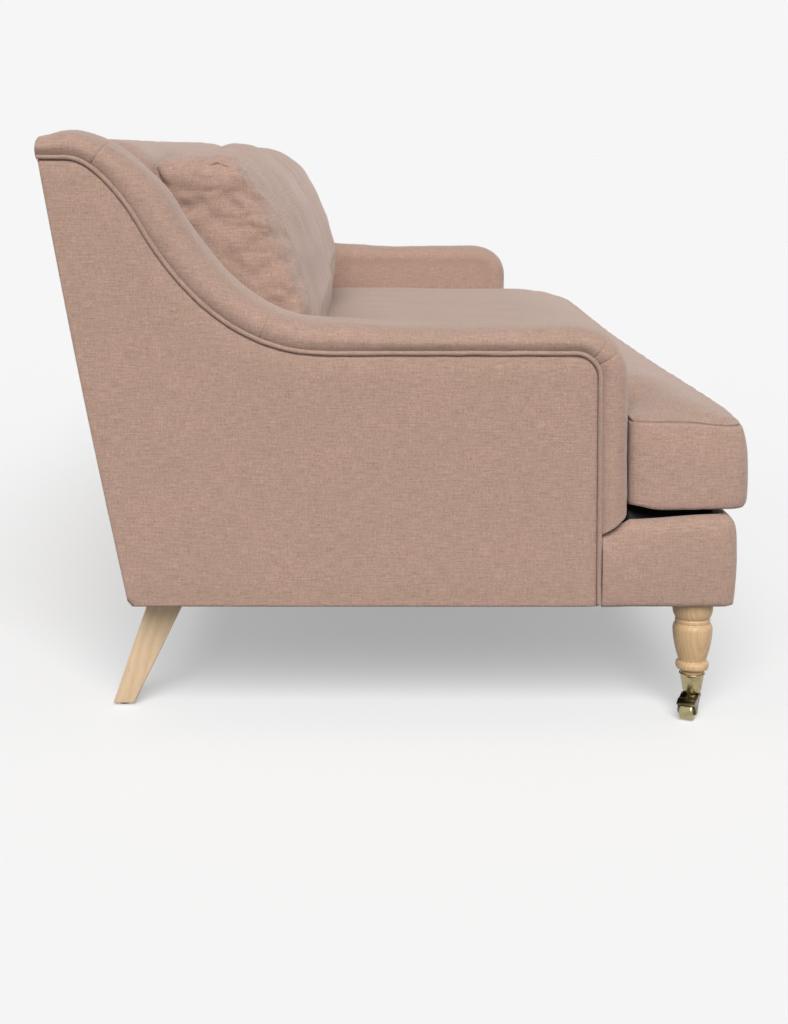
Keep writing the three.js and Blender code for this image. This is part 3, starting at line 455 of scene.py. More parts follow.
def grained_wood(name, light, dark, along, roughness=0.45, coat=0.15):
    """Wood with long pores and rings that run along one direction."""
    tree = Tree(bpy.data.materials.new(name))
    lie = Vector(along).normalized().to_track_quat("Z", "X").inverted().to_euler()
    straight = tree.add("Mapping", {"Vector": tree.place(), "Rotation": lie}).outputs[0]
    soft = tree.add("TexNoise", {"Vector": straight, "Scale": 14}).outputs["Color"]
    wander = tree.add("VectorMath", {0: soft, 1: (0.012, 0.012, 0.05), 2: straight}, operation="MULTIPLY_ADD")
    squeezed = tree.add("Mapping", {"Vector": wander.outputs[0], "Scale": (60, 60, 7)}).outputs[0]
    rings = tree.add("TexWave", {"Vector": squeezed, "Scale": 1.0, "Distortion": 0.6},
                     wave_type="RINGS", rings_direction="SPHERICAL").outputs["Fac"]
    fibres = tree.calc("MULTIPLY", tree.noise(straight, (900, 900, 22), 3.0), 0.75)
    figure = tree.calc("MULTIPLY_ADD", rings, 0.2, fibres)
    pores = tree.ramp(tree.noise(straight, (1100, 1100, 60), 1.0), 0.62, 0.72, 0.0, 0.35)
    body = tree.mix(tree.ramp(figure, 0.25, 0.75), light, dark)
    return tree.finish(figure, 0.15, 0.3 * MM, {
        "Base Color": tree.mix(pores, body, tinted(dark, 0.55)),
        "Roughness": tree.ramp(figure, 0.2, 0.8, roughness - 0.06, roughness + 0.1),
        "Coat Weight": coat,
        "Coat Roughness": 0.3,
    })


def aged_brass(name, shade):
    tree = Tree(bpy.data.materials.new(name))
    place = tree.place()
    stains = tree.noise(place, (90, 90, 90), 4.0)
    dark, light = tinted((0.34, 0.285, 0.155), shade), tinted((0.44, 0.375, 0.215), shade)
    return tree.finish(tree.noise(place, (900, 900, 900)), 0.08, 0.1 * MM, {
        "Base Color": tree.mix(tree.ramp(stains, 0.35, 0.6), dark, light),
        "Roughness": tree.ramp(stains, 0.3, 0.7, 0.26, 0.18),
        "Metallic": 1.0,
    })


def speckled(name, colour, dark, size, roughness, metallic=0.0, relief=0.1 * MM):
    """Plain material with a fine speckle, for nylon, felt, steel and the like."""
    tree = Tree(bpy.data.materials.new(name))
    grain = tree.noise(tree.place(), (1 / size,) * 3, 3.0)
    return tree.finish(grain, 0.4, relief, {
        "Base Color": tree.mix(tree.ramp(grain, 0.3, 0.7), dark, colour),
        "Roughness": roughness,
        "Metallic": metallic,
    })


OAK_LIGHT, OAK_DARK = (0.62, 0.42, 0.235), (0.47, 0.295, 0.15)
# Rear legs: grain along the splayed leg, in a paler copy of the leg wood, painted light against the shade the base
# casts on them
rear_leg_low, rear_leg_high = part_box("right_rear_leg")
REAR_LEG_GRAIN = (0, (rear_leg_low.y - rear_leg_high.y) / 2, rear_leg_high.z - rear_leg_low.z)
rear_leg_wood_painted_lighter = grained_wood("rear_leg_wood_painted_lighter", (0.72, 0.53, 0.345), (0.58, 0.405, 0.245), REAR_LEG_GRAIN)
dark_brass = aged_brass("dark_brass", 0.3)
# Black cloth: the real dust cover's colour, and also painted shade on the deck under the cushion's ears
black_dust_cloth_and_painted_shade = speckled("black_dust_cloth_and_painted_shade", (0.016,) * 3, (0.010,) * 3, 1.2 * MM, 0.95)
SLOT_MATERIALS = {
    "cover_fabric": linen("cover_linen"),
    "welt_fabric": linen("welt_linen", turn=math.pi / 4, shade=0.97),
    "cushion_fabric": linen("cushion_linen", shade=1.02),
    "frame_wood": grained_wood("frame_wood", (0.50, 0.33, 0.17), (0.38, 0.23, 0.11), (1, 0, 0), 0.7, 0.0),
    "leg_wood": grained_wood("leg_wood", OAK_LIGHT, OAK_DARK, (0, 0, 1)),
    "antique_brass": aged_brass("aged_brass", 1.0),
    "glide_plastic": speckled("nylon", (0.03, 0.028, 0.026), (0.02, 0.018, 0.017), 1.5 * MM, 0.5),
    "deck_padding": speckled("felt", (0.62, 0.58, 0.49), (0.52, 0.48, 0.40), 2.5 * MM, 0.95, relief=0.8 * MM),
    "dust_cloth": black_dust_cloth_and_painted_shade,
    "spring_steel": speckled("steel", (0.46, 0.46, 0.47), (0.34, 0.34, 0.35), 3 * MM, 0.35, 1.0),
    "back_webbing": speckled("webbing", (0.075, 0.065, 0.052), (0.045, 0.039, 0.032), 2 * MM, 0.9,
                             relief=0.5 * MM),
}
for node_name, node_object in frame["nodes"].items():
    node_object.data.materials.clear()
    node_object.data.materials.append(SLOT_MATERIALS[slot_of(node_name)])


# Making pieces

def new_object(name, data):
    made = bpy.data.objects.new(name, data)
    bpy.context.scene.collection.objects.link(made)
    return made


def new_mesh(name, points, faces):
    mesh = bpy.data.meshes.new(name)
    mesh.from_pydata([tuple(p) for p in points], [], [tuple(int(i) for i in face) for face in faces])
    return mesh


def dressed(piece, *nodes, material=None):
    """The piece rides with its CAD nodes' body, hides them and takes the material of their slot, by default."""
    piece.data.materials.clear()
    piece.data.materials.append(material or SLOT_MATERIALS[slot_of(nodes[0])])
    piece.data.shade_smooth()
    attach(piece, body_of(nodes[0]))
    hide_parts(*nodes)
    return piece


def new_piece(name, points, faces, uvs, *nodes, thickness=0.0, material=None):
    """A smooth piece with the cloth's own flat coordinates, and with a thickness where one is given."""
    mesh = new_mesh(name, points, faces)
    order = read(mesh.loops, "vertex_index", kind=int)
    mesh.uv_layers.new(name=UV_NAME).uv.foreach_set("vector", np.asarray(uvs, np.float32)[order].ravel())
    piece = new_object(name, mesh)
    if thickness:
        shell = piece.modifiers.new("cloth_thickness", "SOLIDIFY")
        shell.thickness = thickness
        shell.offset = -1
    return dressed(piece, *nodes, material=material)


def reworked(mesh, work_on):
    """Edits a mesh with bmesh."""
    work = bmesh.new()
    work.from_mesh(mesh)
    work_on(work)
    work.to_mesh(mesh)
    work.free()


def weld(mesh, reach):
    reworked(mesh, lambda work: bmesh.ops.remove_doubles(work, verts=work.verts, dist=reach))


def copy_of(node, name):
    """A new object with the CAD node's form, its split corners joined."""
    mesh = frame["nodes"][node].data.copy()
    mesh.name = name
    weld(mesh, MM / 50)
    return new_object(name, mesh)


def modified(piece, kind, **settings):
    """The piece with a modifier applied to its mesh."""
    modifier = piece.modifiers.new(kind.lower(), kind)
    for key, value in settings.items():
        setattr(modifier, key, value)
    apply_modifiers(piece)


def apply_modifiers(piece):
    evaluated = piece.evaluated_get(bpy.context.evaluated_depsgraph_get())
    made = bpy.data.meshes.new_from_object(evaluated)
    piece.modifiers.clear()
    piece.data = made


def coordinates(piece):
    return read(piece.data.vertices, "co", 3)


def set_coordinates(piece, points):
    piece.data.vertices.foreach_set("co", np.ascontiguousarray(points, np.float32).ravel())
    piece.data.update()


def normals(piece):
    return read(piece.data.vertices, "normal", 3, np.float32)


# Welt line: the outermost points of the CAD welt, in order from the top of the back to the front foot

WELT_RADIUS = np.ptp(corners("right_welt")[:, 0]) / 2
WELT_X = corners("right_welt")[:, 0].max() - WELT_RADIUS
PANEL_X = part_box("right_side_panel")[1].x
ARM_INNER_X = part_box("right_inside_arm")[0].x
ARM_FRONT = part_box("right_arm_roll")[0].y
BASE_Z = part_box("right_side_panel")[0].z


def welt_points():
    found = corners("right_welt")
    left = [p[1:] for p in found if p[0] > found[:, 0].max() - MM / 50]
    line = [max(left, key=lambda p: (p[0], p[1]))]
    while len(line) < len(left):
        rest = [p for p in left if not any(np.array_equal(p, q) for q in line)]
        line.append(min(rest, key=lambda p: np.linalg.norm(p - line[-1])))
    return np.array(line)


class Line:
    """A smooth line in the side view, with its lengths, directions and outward normals."""

    def __init__(self, points):
        self.points = points
        self.at = lengths_along(points)
        self.tangent = unit_rows(np.gradient(points, self.at, axis=0))
        self.out = np.stack((self.tangent[:, 1], -self.tangent[:, 0]), axis=1)

    def take(self, values, places):
        return np.stack([np.interp(places, self.at, column) for column in values.T], axis=1)


given_welt = welt_points()
welt = Line(smooth_line(given_welt, 2 * MM))


def roll_rises():
    """How far the arm roll rises over the welt line, as pairs of a length along that line and a rise."""
    top = corners("right_arm_roll")
    pairs = []
    for point in given_welt[:-1]:
        i = int(np.argmin(np.linalg.norm(welt.points - point, axis=1)))
        apart = top[:, 1:] - point
        reach = apart @ welt.out[i]
        level = np.abs(apart @ welt.tangent[i]) < MM + 0.12 * np.abs(reach)
        reach = reach[level & (reach > 0) & (reach < 0.09)]
        if len(reach):
            pairs.append((welt.at[i], reach.max()))
    return pairs


# Arm cover: the roll from the welt over the crest, and the arm's inside face in one cloth

ARM_SEEDS = {1: 10, -1: 20}
STATION_STEP = 5 * MM
DART_STEPS = np.array((-3.4, -2.2, -1.3, -0.6, 0, 0.6, 1.3, 2.2, 3.4)) * MM
DART_DEPTH = 2.2 * MM
BAND_DARTS_Y = (0.4453, 0.1976)
FAN_DART_ANGLES = (132, 151)
ARM_LOW_Z = 0.55
FRONT_TURN_REACH = 60 * MM
ROLL_PROUD = 5 * MM
# The two rolls of the photograph differ a little towards their rear ends
REAR_END_RISE = {1: -8 * MM, -1: 7 * MM}
REAR_DIP = {1: 6 * MM, -1: 0}
ROLL_DIP, ROLL_DIP_Y, ROLL_DIP_REACH = 5 * MM, 0.08, 0.18
MITRE_REACH = 0.08
# The roll's rounded rear end, as shares of its section and how far behind it they lie
REAR_CAP = ((0.975, 1.6 * MM), (0.93, 2.8 * MM), (0.8, 3.8 * MM), (0.5, 4.2 * MM), (0.15, 4.4 * MM))


def place_at_y(y):
    return float(welt.at[np.argmin(np.abs(welt.points[:, 0] - y) + (welt.points[:, 1] < ARM_LOW_Z) * 10)])


def place_at_angle(degrees):
    wanted = np.array((math.cos(math.radians(degrees)), math.sin(math.radians(degrees))))
    front = welt.points[:, 0] < welt.points[:, 0].min() + FRONT_TURN_REACH
    return float(welt.at[np.argmax(welt.out @ wanted + front * 2)])


rise_pairs = roll_rises()
darts = [place_at_y(y) for y in BAND_DARTS_Y] + [place_at_angle(a) for a in FAN_DART_ANGLES]
mitre_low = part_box("right_arm_roll")[0].z
mitre_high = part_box("front_border")[1].z
below_mitre = welt.points[:, 1] < mitre_low + MM / 2
roll_foot = float(welt.at[np.argmax(below_mitre) if below_mitre.any() else -1])


def roll_section(rise):
    """Section of the roll as (x, reach over the welt line), from the welt over the crest to the inside."""
    crest_x = PANEL_X - 46 * MM
    control = np.array((
        (PANEL_X - 8 * MM, -1.0 * MM),
        (PANEL_X - 4.2 * MM, 1.6 * MM),
        (PANEL_X - 0.6 * MM, 4.6 * MM),
        (PANEL_X + 0.55 * ROLL_PROUD, 9.5 * MM),
        (PANEL_X + ROLL_PROUD, 0.42 * rise),
        (PANEL_X + 0.3 * ROLL_PROUD, 0.62 * rise),
        (PANEL_X - 1.4 * ROLL_PROUD, 0.81 * rise),
        (PANEL_X - 22 * MM, 0.94 * rise),
        (crest_x, rise),
        ((crest_x + ARM_INNER_X) / 2, 1.01 * rise),
        (ARM_INNER_X + 24 * MM, 0.93 * rise),
        (ARM_INNER_X + 9 * MM, 0.76 * rise),
        (ARM_INNER_X + 1.5 * MM, 0.48 * rise),
        (ARM_INNER_X - 0.6 * MM, 0.2 * rise),
        (ARM_INNER_X, 0),
    ))
    line = smooth_line(control, 1.5 * MM, 1.0)
    near = np.linspace(0, 0.14, 8, endpoint=False)
    return resampled(line, np.concatenate((near, np.linspace(0.14, 1, 30))) * lengths_along(line)[-1])


def roll_rows(side):
    """The roll's sections along the welt line, their cloth coordinates and the welt's points there."""
    base = np.arange(0, roll_foot, STATION_STEP)
    base = base[np.abs(base[:, None] - np.array(darts)).min(axis=1) > STATION_STEP]
    places = np.sort(np.concatenate((base, *(dart + DART_STEPS for dart in darts), [roll_foot])))
    places = places[(places >= 0) & (places <= roll_foot)]
    line, outs = welt.take(welt.points, places), welt.take(welt.out, places)
    rises = table(rise_pairs, places) + REAR_END_RISE[side] * bump(places, 45 * MM)
    rises -= ROLL_DIP * bump(places - place_at_y(ROLL_DIP_Y), ROLL_DIP_REACH)
    rises -= REAR_DIP[side] * bump(places - 65 * MM, 60 * MM)
    rows, uvs = [], []
    for place, point, out, rise in zip(places, line, outs, rises):
        section = roll_section(rise)
        girth = lengths_along(section)
        over = np.clip(girth / girth[-1] / 0.45, 0, 1)
        groove = sum(bump(place - dart, 1.0 * MM) + 0.35 * bump(place - dart, 7 * MM) for dart in darts)
        depth = DART_DEPTH * groove * (1 - smoothstep(0.75, 1.0, over))
        reach = section[:, 1] - depth * over
        flat = point + out * reach[:, None]
        if place > roll_foot - MITRE_REACH:
            crowd = smoothstep(mitre_high + 30 * MM, mitre_high - 30 * MM, point[1])
            flat[:, 1] += crowd * (mitre_high - mitre_low) * np.clip(reach / rise, 0, 1)
        rows.append(np.column_stack((section[:, 0] - depth * (1 - over), flat)))
        uvs.append(point + out * girth[:, None])
    return rows, uvs, line


def numbered(field, rim, rim_numbers, first):
    """Point numbers of a field that starts from an edge of known numbers, and which of its points are new."""
    same = matched(field, rim)
    fresh = same < 0
    return np.where(fresh, first + np.cumsum(fresh) - 1, rim_numbers[same]), fresh


def arm_cover(side):
    seed = ARM_SEEDS[side]
    rows, uvs, line = roll_rows(side)
    count = len(rows[0])
    points, flat = np.vstack(rows), np.vstack(uvs)
    puff = clouds(points, seed, (1.1 * MM, 70 * MM), (0.6 * MM, 26 * MM), (0.25 * MM, 9 * MM))
    share = np.tile(np.linspace(0, 1, count), len(rows))
    free = smoothstep(0, 0.15, share) * smoothstep(1, 0.9, share)
    core = np.column_stack((np.full(len(line), WELT_X - 50 * MM), line))
    points += unit_rows(points - np.repeat(core, count, axis=0)) * (puff * free)[:, None]
    faces = grid_faces(len(rows), count)

    # Rounded end at the top of the back
    start, ring = points[:count], np.arange(count)
    foot = np.array((start[:, 0].mean(), *start[0, 1:]))
    for shrink, lift in REAR_CAP:
        row = foot + (start - foot) * shrink
        row[:, 1] = start[:, 1] + lift
        new = len(points) + np.arange(count)
        faces.extend(zip(ring[1:], ring, new, new[1:]))
        points, flat, ring = np.vstack((points, row)), np.vstack((flat, row[:, [0, 2]])), new
    hub = len(points)
    points = np.vstack((points, (foot[0], points[ring][:, 1].mean(), foot[2])))
    flat = np.vstack((flat, points[hub, [0, 2]]))
    faces.extend((b, a, hub) for a, b in zip(ring, ring[1:]))

    # Inside face, from the roll's last points down to the seat
    edge = np.arange(len(rows)) * count + count - 1
    cad = outline_of("right_inside_arm", 0, False)
    bottom = cad[:, 1].min()
    rear_low = cad[cad[:, 1] < bottom + MM][:, 0].max()
    behind = cad[cad[:, 0] > rear_low - MM]
    rear_top = behind[behind[:, 1].argmax()]
    ahead = points[edge, 1] < np.interp(points[edge, 2], (bottom, rear_top[1]), (rear_low, rear_top[0])) - MM
    kept = edge[np.argmax(ahead):]
    rim = points[kept][:, 1:]
    front_low = (rim[-1][0], bottom)
    tail = np.vstack((
        resampled(np.vstack((rim[-1], front_low)), [6 * MM]),
        front_low,
        np.linspace(front_low, (rear_low, bottom), 60)[1:],
        np.linspace((rear_low, bottom), rear_top, 50)[1:],
    ))
    field, triangles, apart = filled(np.vstack((rim, tail)), [], 12 * MM)
    numbers, fresh = numbered(field, rim, kept, len(points))
    added = np.column_stack((ARM_INNER_X - 2.0 * MM * smoothstep(0, 60 * MM, apart), field))[fresh]
    added[:, 0] += 0.8 * MM * cloud(added, 90 * MM, seed + 3)
    faces.extend(tuple(numbers[list(face)]) for face in turned_towards(field, triangles, False))
    points, faces = mirrored(np.vstack((points, added)), faces, side)
    name = SIDE_NAMES[side]
    return new_piece(f"{name}_arm_cover", points, faces, np.vstack((flat, added[:, 1:])),
                     f"{name}_arm_roll", f"{name}_inside_arm", thickness=CLOTH_THICKNESS)


# Side panel: flat cloth over a board, tucked in along the welt and rounded at the back and the base

PANEL_SEEDS = {1: 40, -1: 50}
PANEL_MARGIN = 1.2 * MM
REAR_BOW = 3.5 * MM
HEM_DROP = 1.5 * MM


def side_panel(side):
    seed = PANEL_SEEDS[side]
    outline = outline_of("right_side_panel", 0)
    rear_low = outline[outline[:, 1] < BASE_Z + MM][:, 0].max()
    rear_top = outline[outline[:, 0].argmax()]

    def rear_at(z):
        bow = REAR_BOW * np.sin(np.pi * np.clip((z - BASE_Z) / (rear_top[1] - BASE_Z), 0, 1))
        return np.interp(z, (BASE_Z, rear_top[1]), (rear_low, rear_top[0])) + bow

    edge = welt.points - welt.out * PANEL_MARGIN
    edge = edge[(edge[:, 1] > BASE_Z) & (edge[:, 0] < rear_at(edge[:, 1]))]
    edge = resampled(edge, np.arange(0, lengths_along(edge)[-1], 3 * MM))
    hem = BASE_Z - HEM_DROP
    bottom = np.linspace((edge[-1][0], hem), (rear_low, hem), 220)
    rear_z = np.linspace(hem, edge[0][1], 160)[1:-1]
    rear = np.column_stack((rear_at(rear_z), rear_z))
    rest = np.vstack((bottom, rear))
    rest = rest[np.linalg.norm(rest - (rear_low, hem), axis=1) > 5 * MM]
    insets = [m * MM for m in (0.8, 1.8, 3.2, 5, 8, 12)]
    field, triangles, apart = filled(np.vstack((edge, rest)), insets, 9 * MM)
    welt_apart = line_distance(field, edge)
    other = line_distance(field, np.vstack((bottom, rear[::3], edge[:1]))[::2])
    tuck = 5 * MM * smoothstep(6 * MM, 0, welt_apart) + 2.2 * MM * smoothstep(26 * MM, 0, welt_apart)
    swell = 1.6 * MM * smoothstep(4 * MM, 40 * MM, apart)
    ripple = 0.9 * MM * cloud(field, np.array((0.11, 0.19, 1)), seed) * smoothstep(0, 30 * MM, apart)
    pucker = 0.35 * MM * cloud(field, 11 * MM, seed + 1) * bump(welt_apart - 9 * MM, 9 * MM)
    x = PANEL_X + swell + ripple + pucker - tuck - quarter_round(other, 4.5 * MM)
    points, faces = mirrored(np.column_stack((x, field)), turned_towards(field, triangles, True), side)
    name = SIDE_NAMES[side]
    return new_piece(f"{name}_side_cover", points, faces, field,
                     f"{name}_side_panel", thickness=CLOTH_THICKNESS)


# Welt: a cord in a bias strip, slightly puckered by its stitches

WELT_SEEDS = {1: 60, -1: 70}
WELT_SIDES = 14


def welt_cord(side):
    seed = WELT_SEEDS[side]
    places = np.arange(0, welt.at[-1], 3 * MM)
    line = np.column_stack((np.full(len(places), WELT_X), welt.take(welt.points, places)))
    radius = WELT_RADIUS * (1 + clouds(line, seed, (0.05, 14 * MM), (0.04, 6 * MM)))
    wander = 0.4 * MM * cloud(line, 40 * MM, seed + 2)
    angles = np.linspace(0, 2 * math.pi, WELT_SIDES, endpoint=False)
    rings, uvs = [], []
    for place, centre, out, r, w in zip(places, line, welt.take(welt.out, places), radius, wander):
        reach = (r * np.sin(angles) + w)[:, None]
        rings.append(centre + np.column_stack((r * np.cos(angles) * 1.05, out * reach)))
        uvs.append(np.column_stack((np.full(WELT_SIDES, place), angles * r)))
    first, last = (ring.mean(axis=0) + (ring - ring.mean(axis=0)) * 0.4 for ring in (rings[0], rings[-1]))
    rings, uvs = [first, *rings, last], [uvs[0], *uvs, uvs[-1]]
    points, faces = mirrored(np.vstack(rings), tube_faces(len(rings), WELT_SIDES, flip=True), side)
    name = SIDE_NAMES[side]
    return new_piece(f"{name}_welt_cord", points, faces, np.vstack(uvs), f"{name}_welt")


# Front border: cloth round the front rail and both corners, mitred to the arm rolls

BORDER_CORNER = 20 * MM
BORDER_BULGE = 5 * MM
BORDER_TUCK = 24 * MM
BORDER_MITRE_DROP = 8 * MM
BORDER_ROWS = 30
# Its section from the base to the top, as (how far out, share of the height, how much higher)
BORDER_SECTION = np.array((
    (-BORDER_TUCK, 0, 0), (-9 * MM, 0, -0.8 * MM), (-3.5 * MM, 0, -HEM_DROP), (-0.4 * MM, 0, 0.2 * MM),
    (0.6 * MM, 0, 5 * MM), (0.75 * BORDER_BULGE, 0.3, 0), (BORDER_BULGE, 0.52, 0),
    (0.8 * BORDER_BULGE, 0.74, 0), (1.5 * MM, 1, -17 * MM), (-4 * MM, 1, -6.5 * MM),
    (-12 * MM, 1, -1.6 * MM), (-18 * MM, 1, 0), (-BORDER_TUCK, 1, -7 * MM),
))


def front_border():
    low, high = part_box("front_border")
    turn = np.linspace(0, math.pi / 2, 12)
    corner = np.column_stack((
        high.x - BORDER_CORNER + BORDER_CORNER * np.cos(turn),
        low.y + BORDER_CORNER - BORDER_CORNER * np.sin(turn),
    ))
    half = np.vstack(((high.x, high.y), (high.x, ARM_FRONT), corner))
    path = np.vstack((half, (half * (-1, 1))[::-1]))
    at = lengths_along(path)
    places = np.unique(np.round(np.concatenate((np.arange(0, at[-1], 7 * MM), at)), 5))
    line = resampled(path, places)
    direction = unit_rows(np.gradient(line, places, axis=0))
    outward = np.column_stack((-direction[:, 1], direction[:, 0]))
    outward *= np.sign(np.sum(outward * (line - (0, 0.2)), axis=1))[:, None]
    rows, uvs = [], []
    for place, point, out in zip(places, line, outward):
        is_side = point[1] > ARM_FRONT
        share = np.clip((high.y - point[1]) / (high.y - ARM_FRONT), 0, 1)
        drop = BORDER_MITRE_DROP * (1 - smoothstep(0, 130 * MM, ARM_FRONT - point[1]))
        tall = mitre_low + (mitre_high - drop - mitre_low) * share - 0.6 * MM * is_side - low.z
        shape = np.column_stack((BORDER_SECTION[:, 0], BORDER_SECTION[:, 1] * tall + BORDER_SECTION[:, 2]))
        section = smooth_line(shape, 4 * MM, 1.0)
        section = resampled(section, np.linspace(0, lengths_along(section)[-1], BORDER_ROWS))
        flat = point + out * section[:, :1]
        if not is_side:
            flat[:, 1] = np.minimum(flat[:, 1], point[1] + BORDER_TUCK)
        rows.append(np.column_stack((flat, low.z + section[:, 1])))
        uvs.append(np.column_stack((np.full(BORDER_ROWS, place), lengths_along(section))))
    points = np.vstack(rows)
    share = np.linspace(0, 1, BORDER_ROWS)
    free = np.tile(smoothstep(0.02, 0.3, share) * smoothstep(1, 0.85, share), len(rows))
    wave = clouds(points, 80, (0.9 * MM, np.array((0.13, 0.13, 0.05))), (0.3 * MM, 20 * MM))
    points[:, :2] += np.repeat(outward, BORDER_ROWS, axis=0) * (wave * free)[:, None]
    return new_piece("front_border_cover", points, grid_faces(len(rows), BORDER_ROWS), np.vstack(uvs),
                     "front_border", thickness=CLOTH_THICKNESS)


# Seat cushion: a boxed bench cushion with an ear in front of each arm

SEAT_SEAM_Z = 0.449
SEAT_CROWN = 48 * MM
SEAT_CROWN_REACH = 0.19
# How far the top seam sinks along the front, at the corners and in the middle
SEAT_FRONT_DROP = (0.5 * MM, 9 * MM)
SEAT_FRONT_BAND = 60 * MM
SEAT_CORNER_DIP = 7 * MM
SEAT_FRONT_BULGE = 13 * MM
SEAT_FRONT_GROWTH = 9 * MM
SEAT_SIDE_BULGE = 7 * MM
SEAT_EDGE_LIFT = 6.5 * MM
SEAT_CORNER = 30 * MM
SEAT_ARM_GAP = 0.9 * MM
SEAT_NECK_GAP = 3 * MM
SEAT_SEAM_DEPTH = 5 * MM
SEAT_PULL, SEAT_PULL_LENGTH = 1.25 * MM, 0.9
# The boxing from the top seam down, as (share of its height, share of the bulge)
SEAT_WALL = ((0.986, 0.12), (0.967, 0.27), (0.945, 0.36), (0.9, 0.48), (0.8, 0.72), (0.66, 0.92), (0.5, 1.0),
             (0.34, 1.0), (0.19, 0.96), (0.09, 0.9), (0.035, 0.8), (0.0, 0.56))
SEAT_ROW_STEP = 7 * MM


def seam_height(plan):
    """Height of the seat cushion's top seam over points of its plan."""
    low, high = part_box("seat_cushion")
    inwards = smoothstep(0.1, 0.95, high.x - np.abs(plan[:, 0]))
    corner_apart = np.linalg.norm(np.abs(plan) - (high.x, -low.y), axis=1)
    near_front = smoothstep(SEAT_FRONT_BAND, 0, plan[:, 1] - low.y)
    corner_drop, middle_drop = SEAT_FRONT_DROP
    drop = near_front * (corner_drop + (middle_drop - corner_drop) * inwards)
    return SEAT_SEAM_Z - drop - SEAT_CORNER_DIP * bump(corner_apart, 70 * MM)


def seat_top(loop, normal):
    """The crowned top inside its seam: points, faces and cloth coordinates."""
    field, triangles, apart = filled(loop, [m * MM for m in (2, 4, 7, 11, 18)], 13 * MM)
    crown = SEAT_CROWN * (1 - (1 - np.clip(apart / SEAT_CROWN_REACH, 0, 1)) ** 2.2)
    edges = np.array([(a, b) for t in triangles for a, b in zip(t, (*t[1:], t[0]))])
    crown = spread(crown, edges, apart > 30 * MM, 24)
    puff = 1.9 * MM * bump(apart - 4.5 * MM, 5 * MM)
    pucker = 1.6 * MM * cloud(field, 15 * MM, 90) * bump(apart - 9 * MM, 11 * MM)
    broad = clouds(field, 91, (2.2 * MM, 0.21), (1.0 * MM, 0.075)) * smoothstep(0, 0.12, apart)
    outward = 1.2 * MM * bump(apart - 2.5 * MM, 3 * MM) - SEAT_SEAM_DEPTH * (apart < 0.5 * MM)
    near_rim = apart < 7.5 * MM
    shifted = field.copy()
    shifted[near_rim] += normal[nearest_of(field[near_rim], loop)[0]] * outward[near_rim][:, None]
    points = np.column_stack((shifted, seam_height(field) + crown + puff + pucker + broad))
    return points, turned_towards(field, triangles, True), field


def seat_cushion():
    low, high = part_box("seat_cushion")
    arm_front = ARM_FRONT - SEAT_ARM_GAP
    ear = high.x - SEAT_SIDE_BULGE
    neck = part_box("inside_back")[1].x - SEAT_NECK_GAP
    front = low.y + SEAT_FRONT_BULGE - SEAT_FRONT_GROWTH
    right = [(ear, front), (ear, arm_front), (neck, arm_front), (neck, high.y)]
    plan = np.array(right + [(-x, y) for x, y in reversed(right)])
    radii = [SEAT_CORNER, 14 * MM, 10 * MM, SEAT_CORNER]
    loop = anticlockwise(rounded_loop(plan, radii + radii[::-1], SEAT_ROW_STEP))
    normal = loop_normals(loop)
    is_free = loop[:, 1] < arm_front - 4 * MM
    pull = np.abs(np.sin(lengths_along(loop) * math.pi / SEAT_PULL_LENGTH))
    loop = loop - normal * (SEAT_PULL * pull)[:, None]
    top, faces, field = seat_top(loop, normal)
    points, uvs = [top], [field]
    count, number = len(loop), len(field)
    around = lengths_along(loop)
    upper = matched(loop, field)
    wall = seam_height(loop) - low.z

    # Boxing, fullest at the front, pressed flat by the arms and lifted along its lower edge
    facing_front = smoothstep(0.3, 0.9, -normal[:, 1]) * is_free
    facing_arm = (is_free & (normal[:, 1] > 0.3)) | (~is_free & (loop[:, 1] < arm_front + 2 * MM))
    bulge = np.where(is_free, SEAT_SIDE_BULGE, 1.0 * MM)
    bulge = bulge + facing_front * (SEAT_FRONT_BULGE - bulge)
    bulge = softened(np.where(facing_arm, 0.6 * MM, bulge), 3)
    give = np.where(bulge > 3 * MM, 1.0, 0.25)
    rear_corner = np.linalg.norm(np.abs(loop) - np.abs((ear, arm_front)), axis=1)
    front_corner = np.linalg.norm(np.abs(loop) - (ear, -front), axis=1)
    is_ear = np.abs(loop[:, 0]) > neck + 30 * MM
    lift = 1 + 1.5 * bump(rear_corner, 20 * MM) + 0.35 * bump(front_corner, 90 * MM)
    edge_lift = softened(SEAT_EDGE_LIFT * (is_free | is_ear) * lift, 2)
    for share, swell in SEAT_WALL:
        height = low.z + edge_lift + share * (wall - edge_lift)
        crease = cloud(np.column_stack((loop, np.full(count, share * 0.02))), 13 * MM, 93)
        soft = cloud(np.column_stack((loop, share * wall)), 60 * MM, 94)
        seam_near = smoothstep(0.72, 0.96, share) + 0.5 * smoothstep(0.16, 0.03, share)
        ripple = 1.8 * MM * crease * seam_near + 1.3 * MM * soft * smoothstep(0, 0.3, share)
        by = bulge * swell + ripple * give
        points.append(np.column_stack((loop + normal * by[:, None], height)))
        uvs.append(np.column_stack((around, height)))
        lower = number + np.arange(count)
        number += count
        faces.extend(zip(upper, lower, np.roll(lower, -1), np.roll(upper, -1)))
        upper = lower

    # Base, raised with the lower edge
    rim = points[-1][:, :2]
    base, triangles, inside_by = filled(rim, [14 * MM, 34 * MM], 45 * MM)
    numbers, fresh = numbered(base, rim, upper, number)
    raised = edge_lift[nearest_of(base[fresh], rim)[0]] * bump(inside_by[fresh], 110 * MM)
    points.append(np.column_stack((base[fresh], low.z + raised)))
    uvs.append(base[fresh])
    faces.extend(tuple(numbers[list(face)]) for face in turned_towards(base, triangles, False))
    return new_piece("seat_cushion_cover", np.vstack(points), faces, np.vstack(uvs), "seat_cushion")


# Back cushions: filled by a cloth simulation, then creased

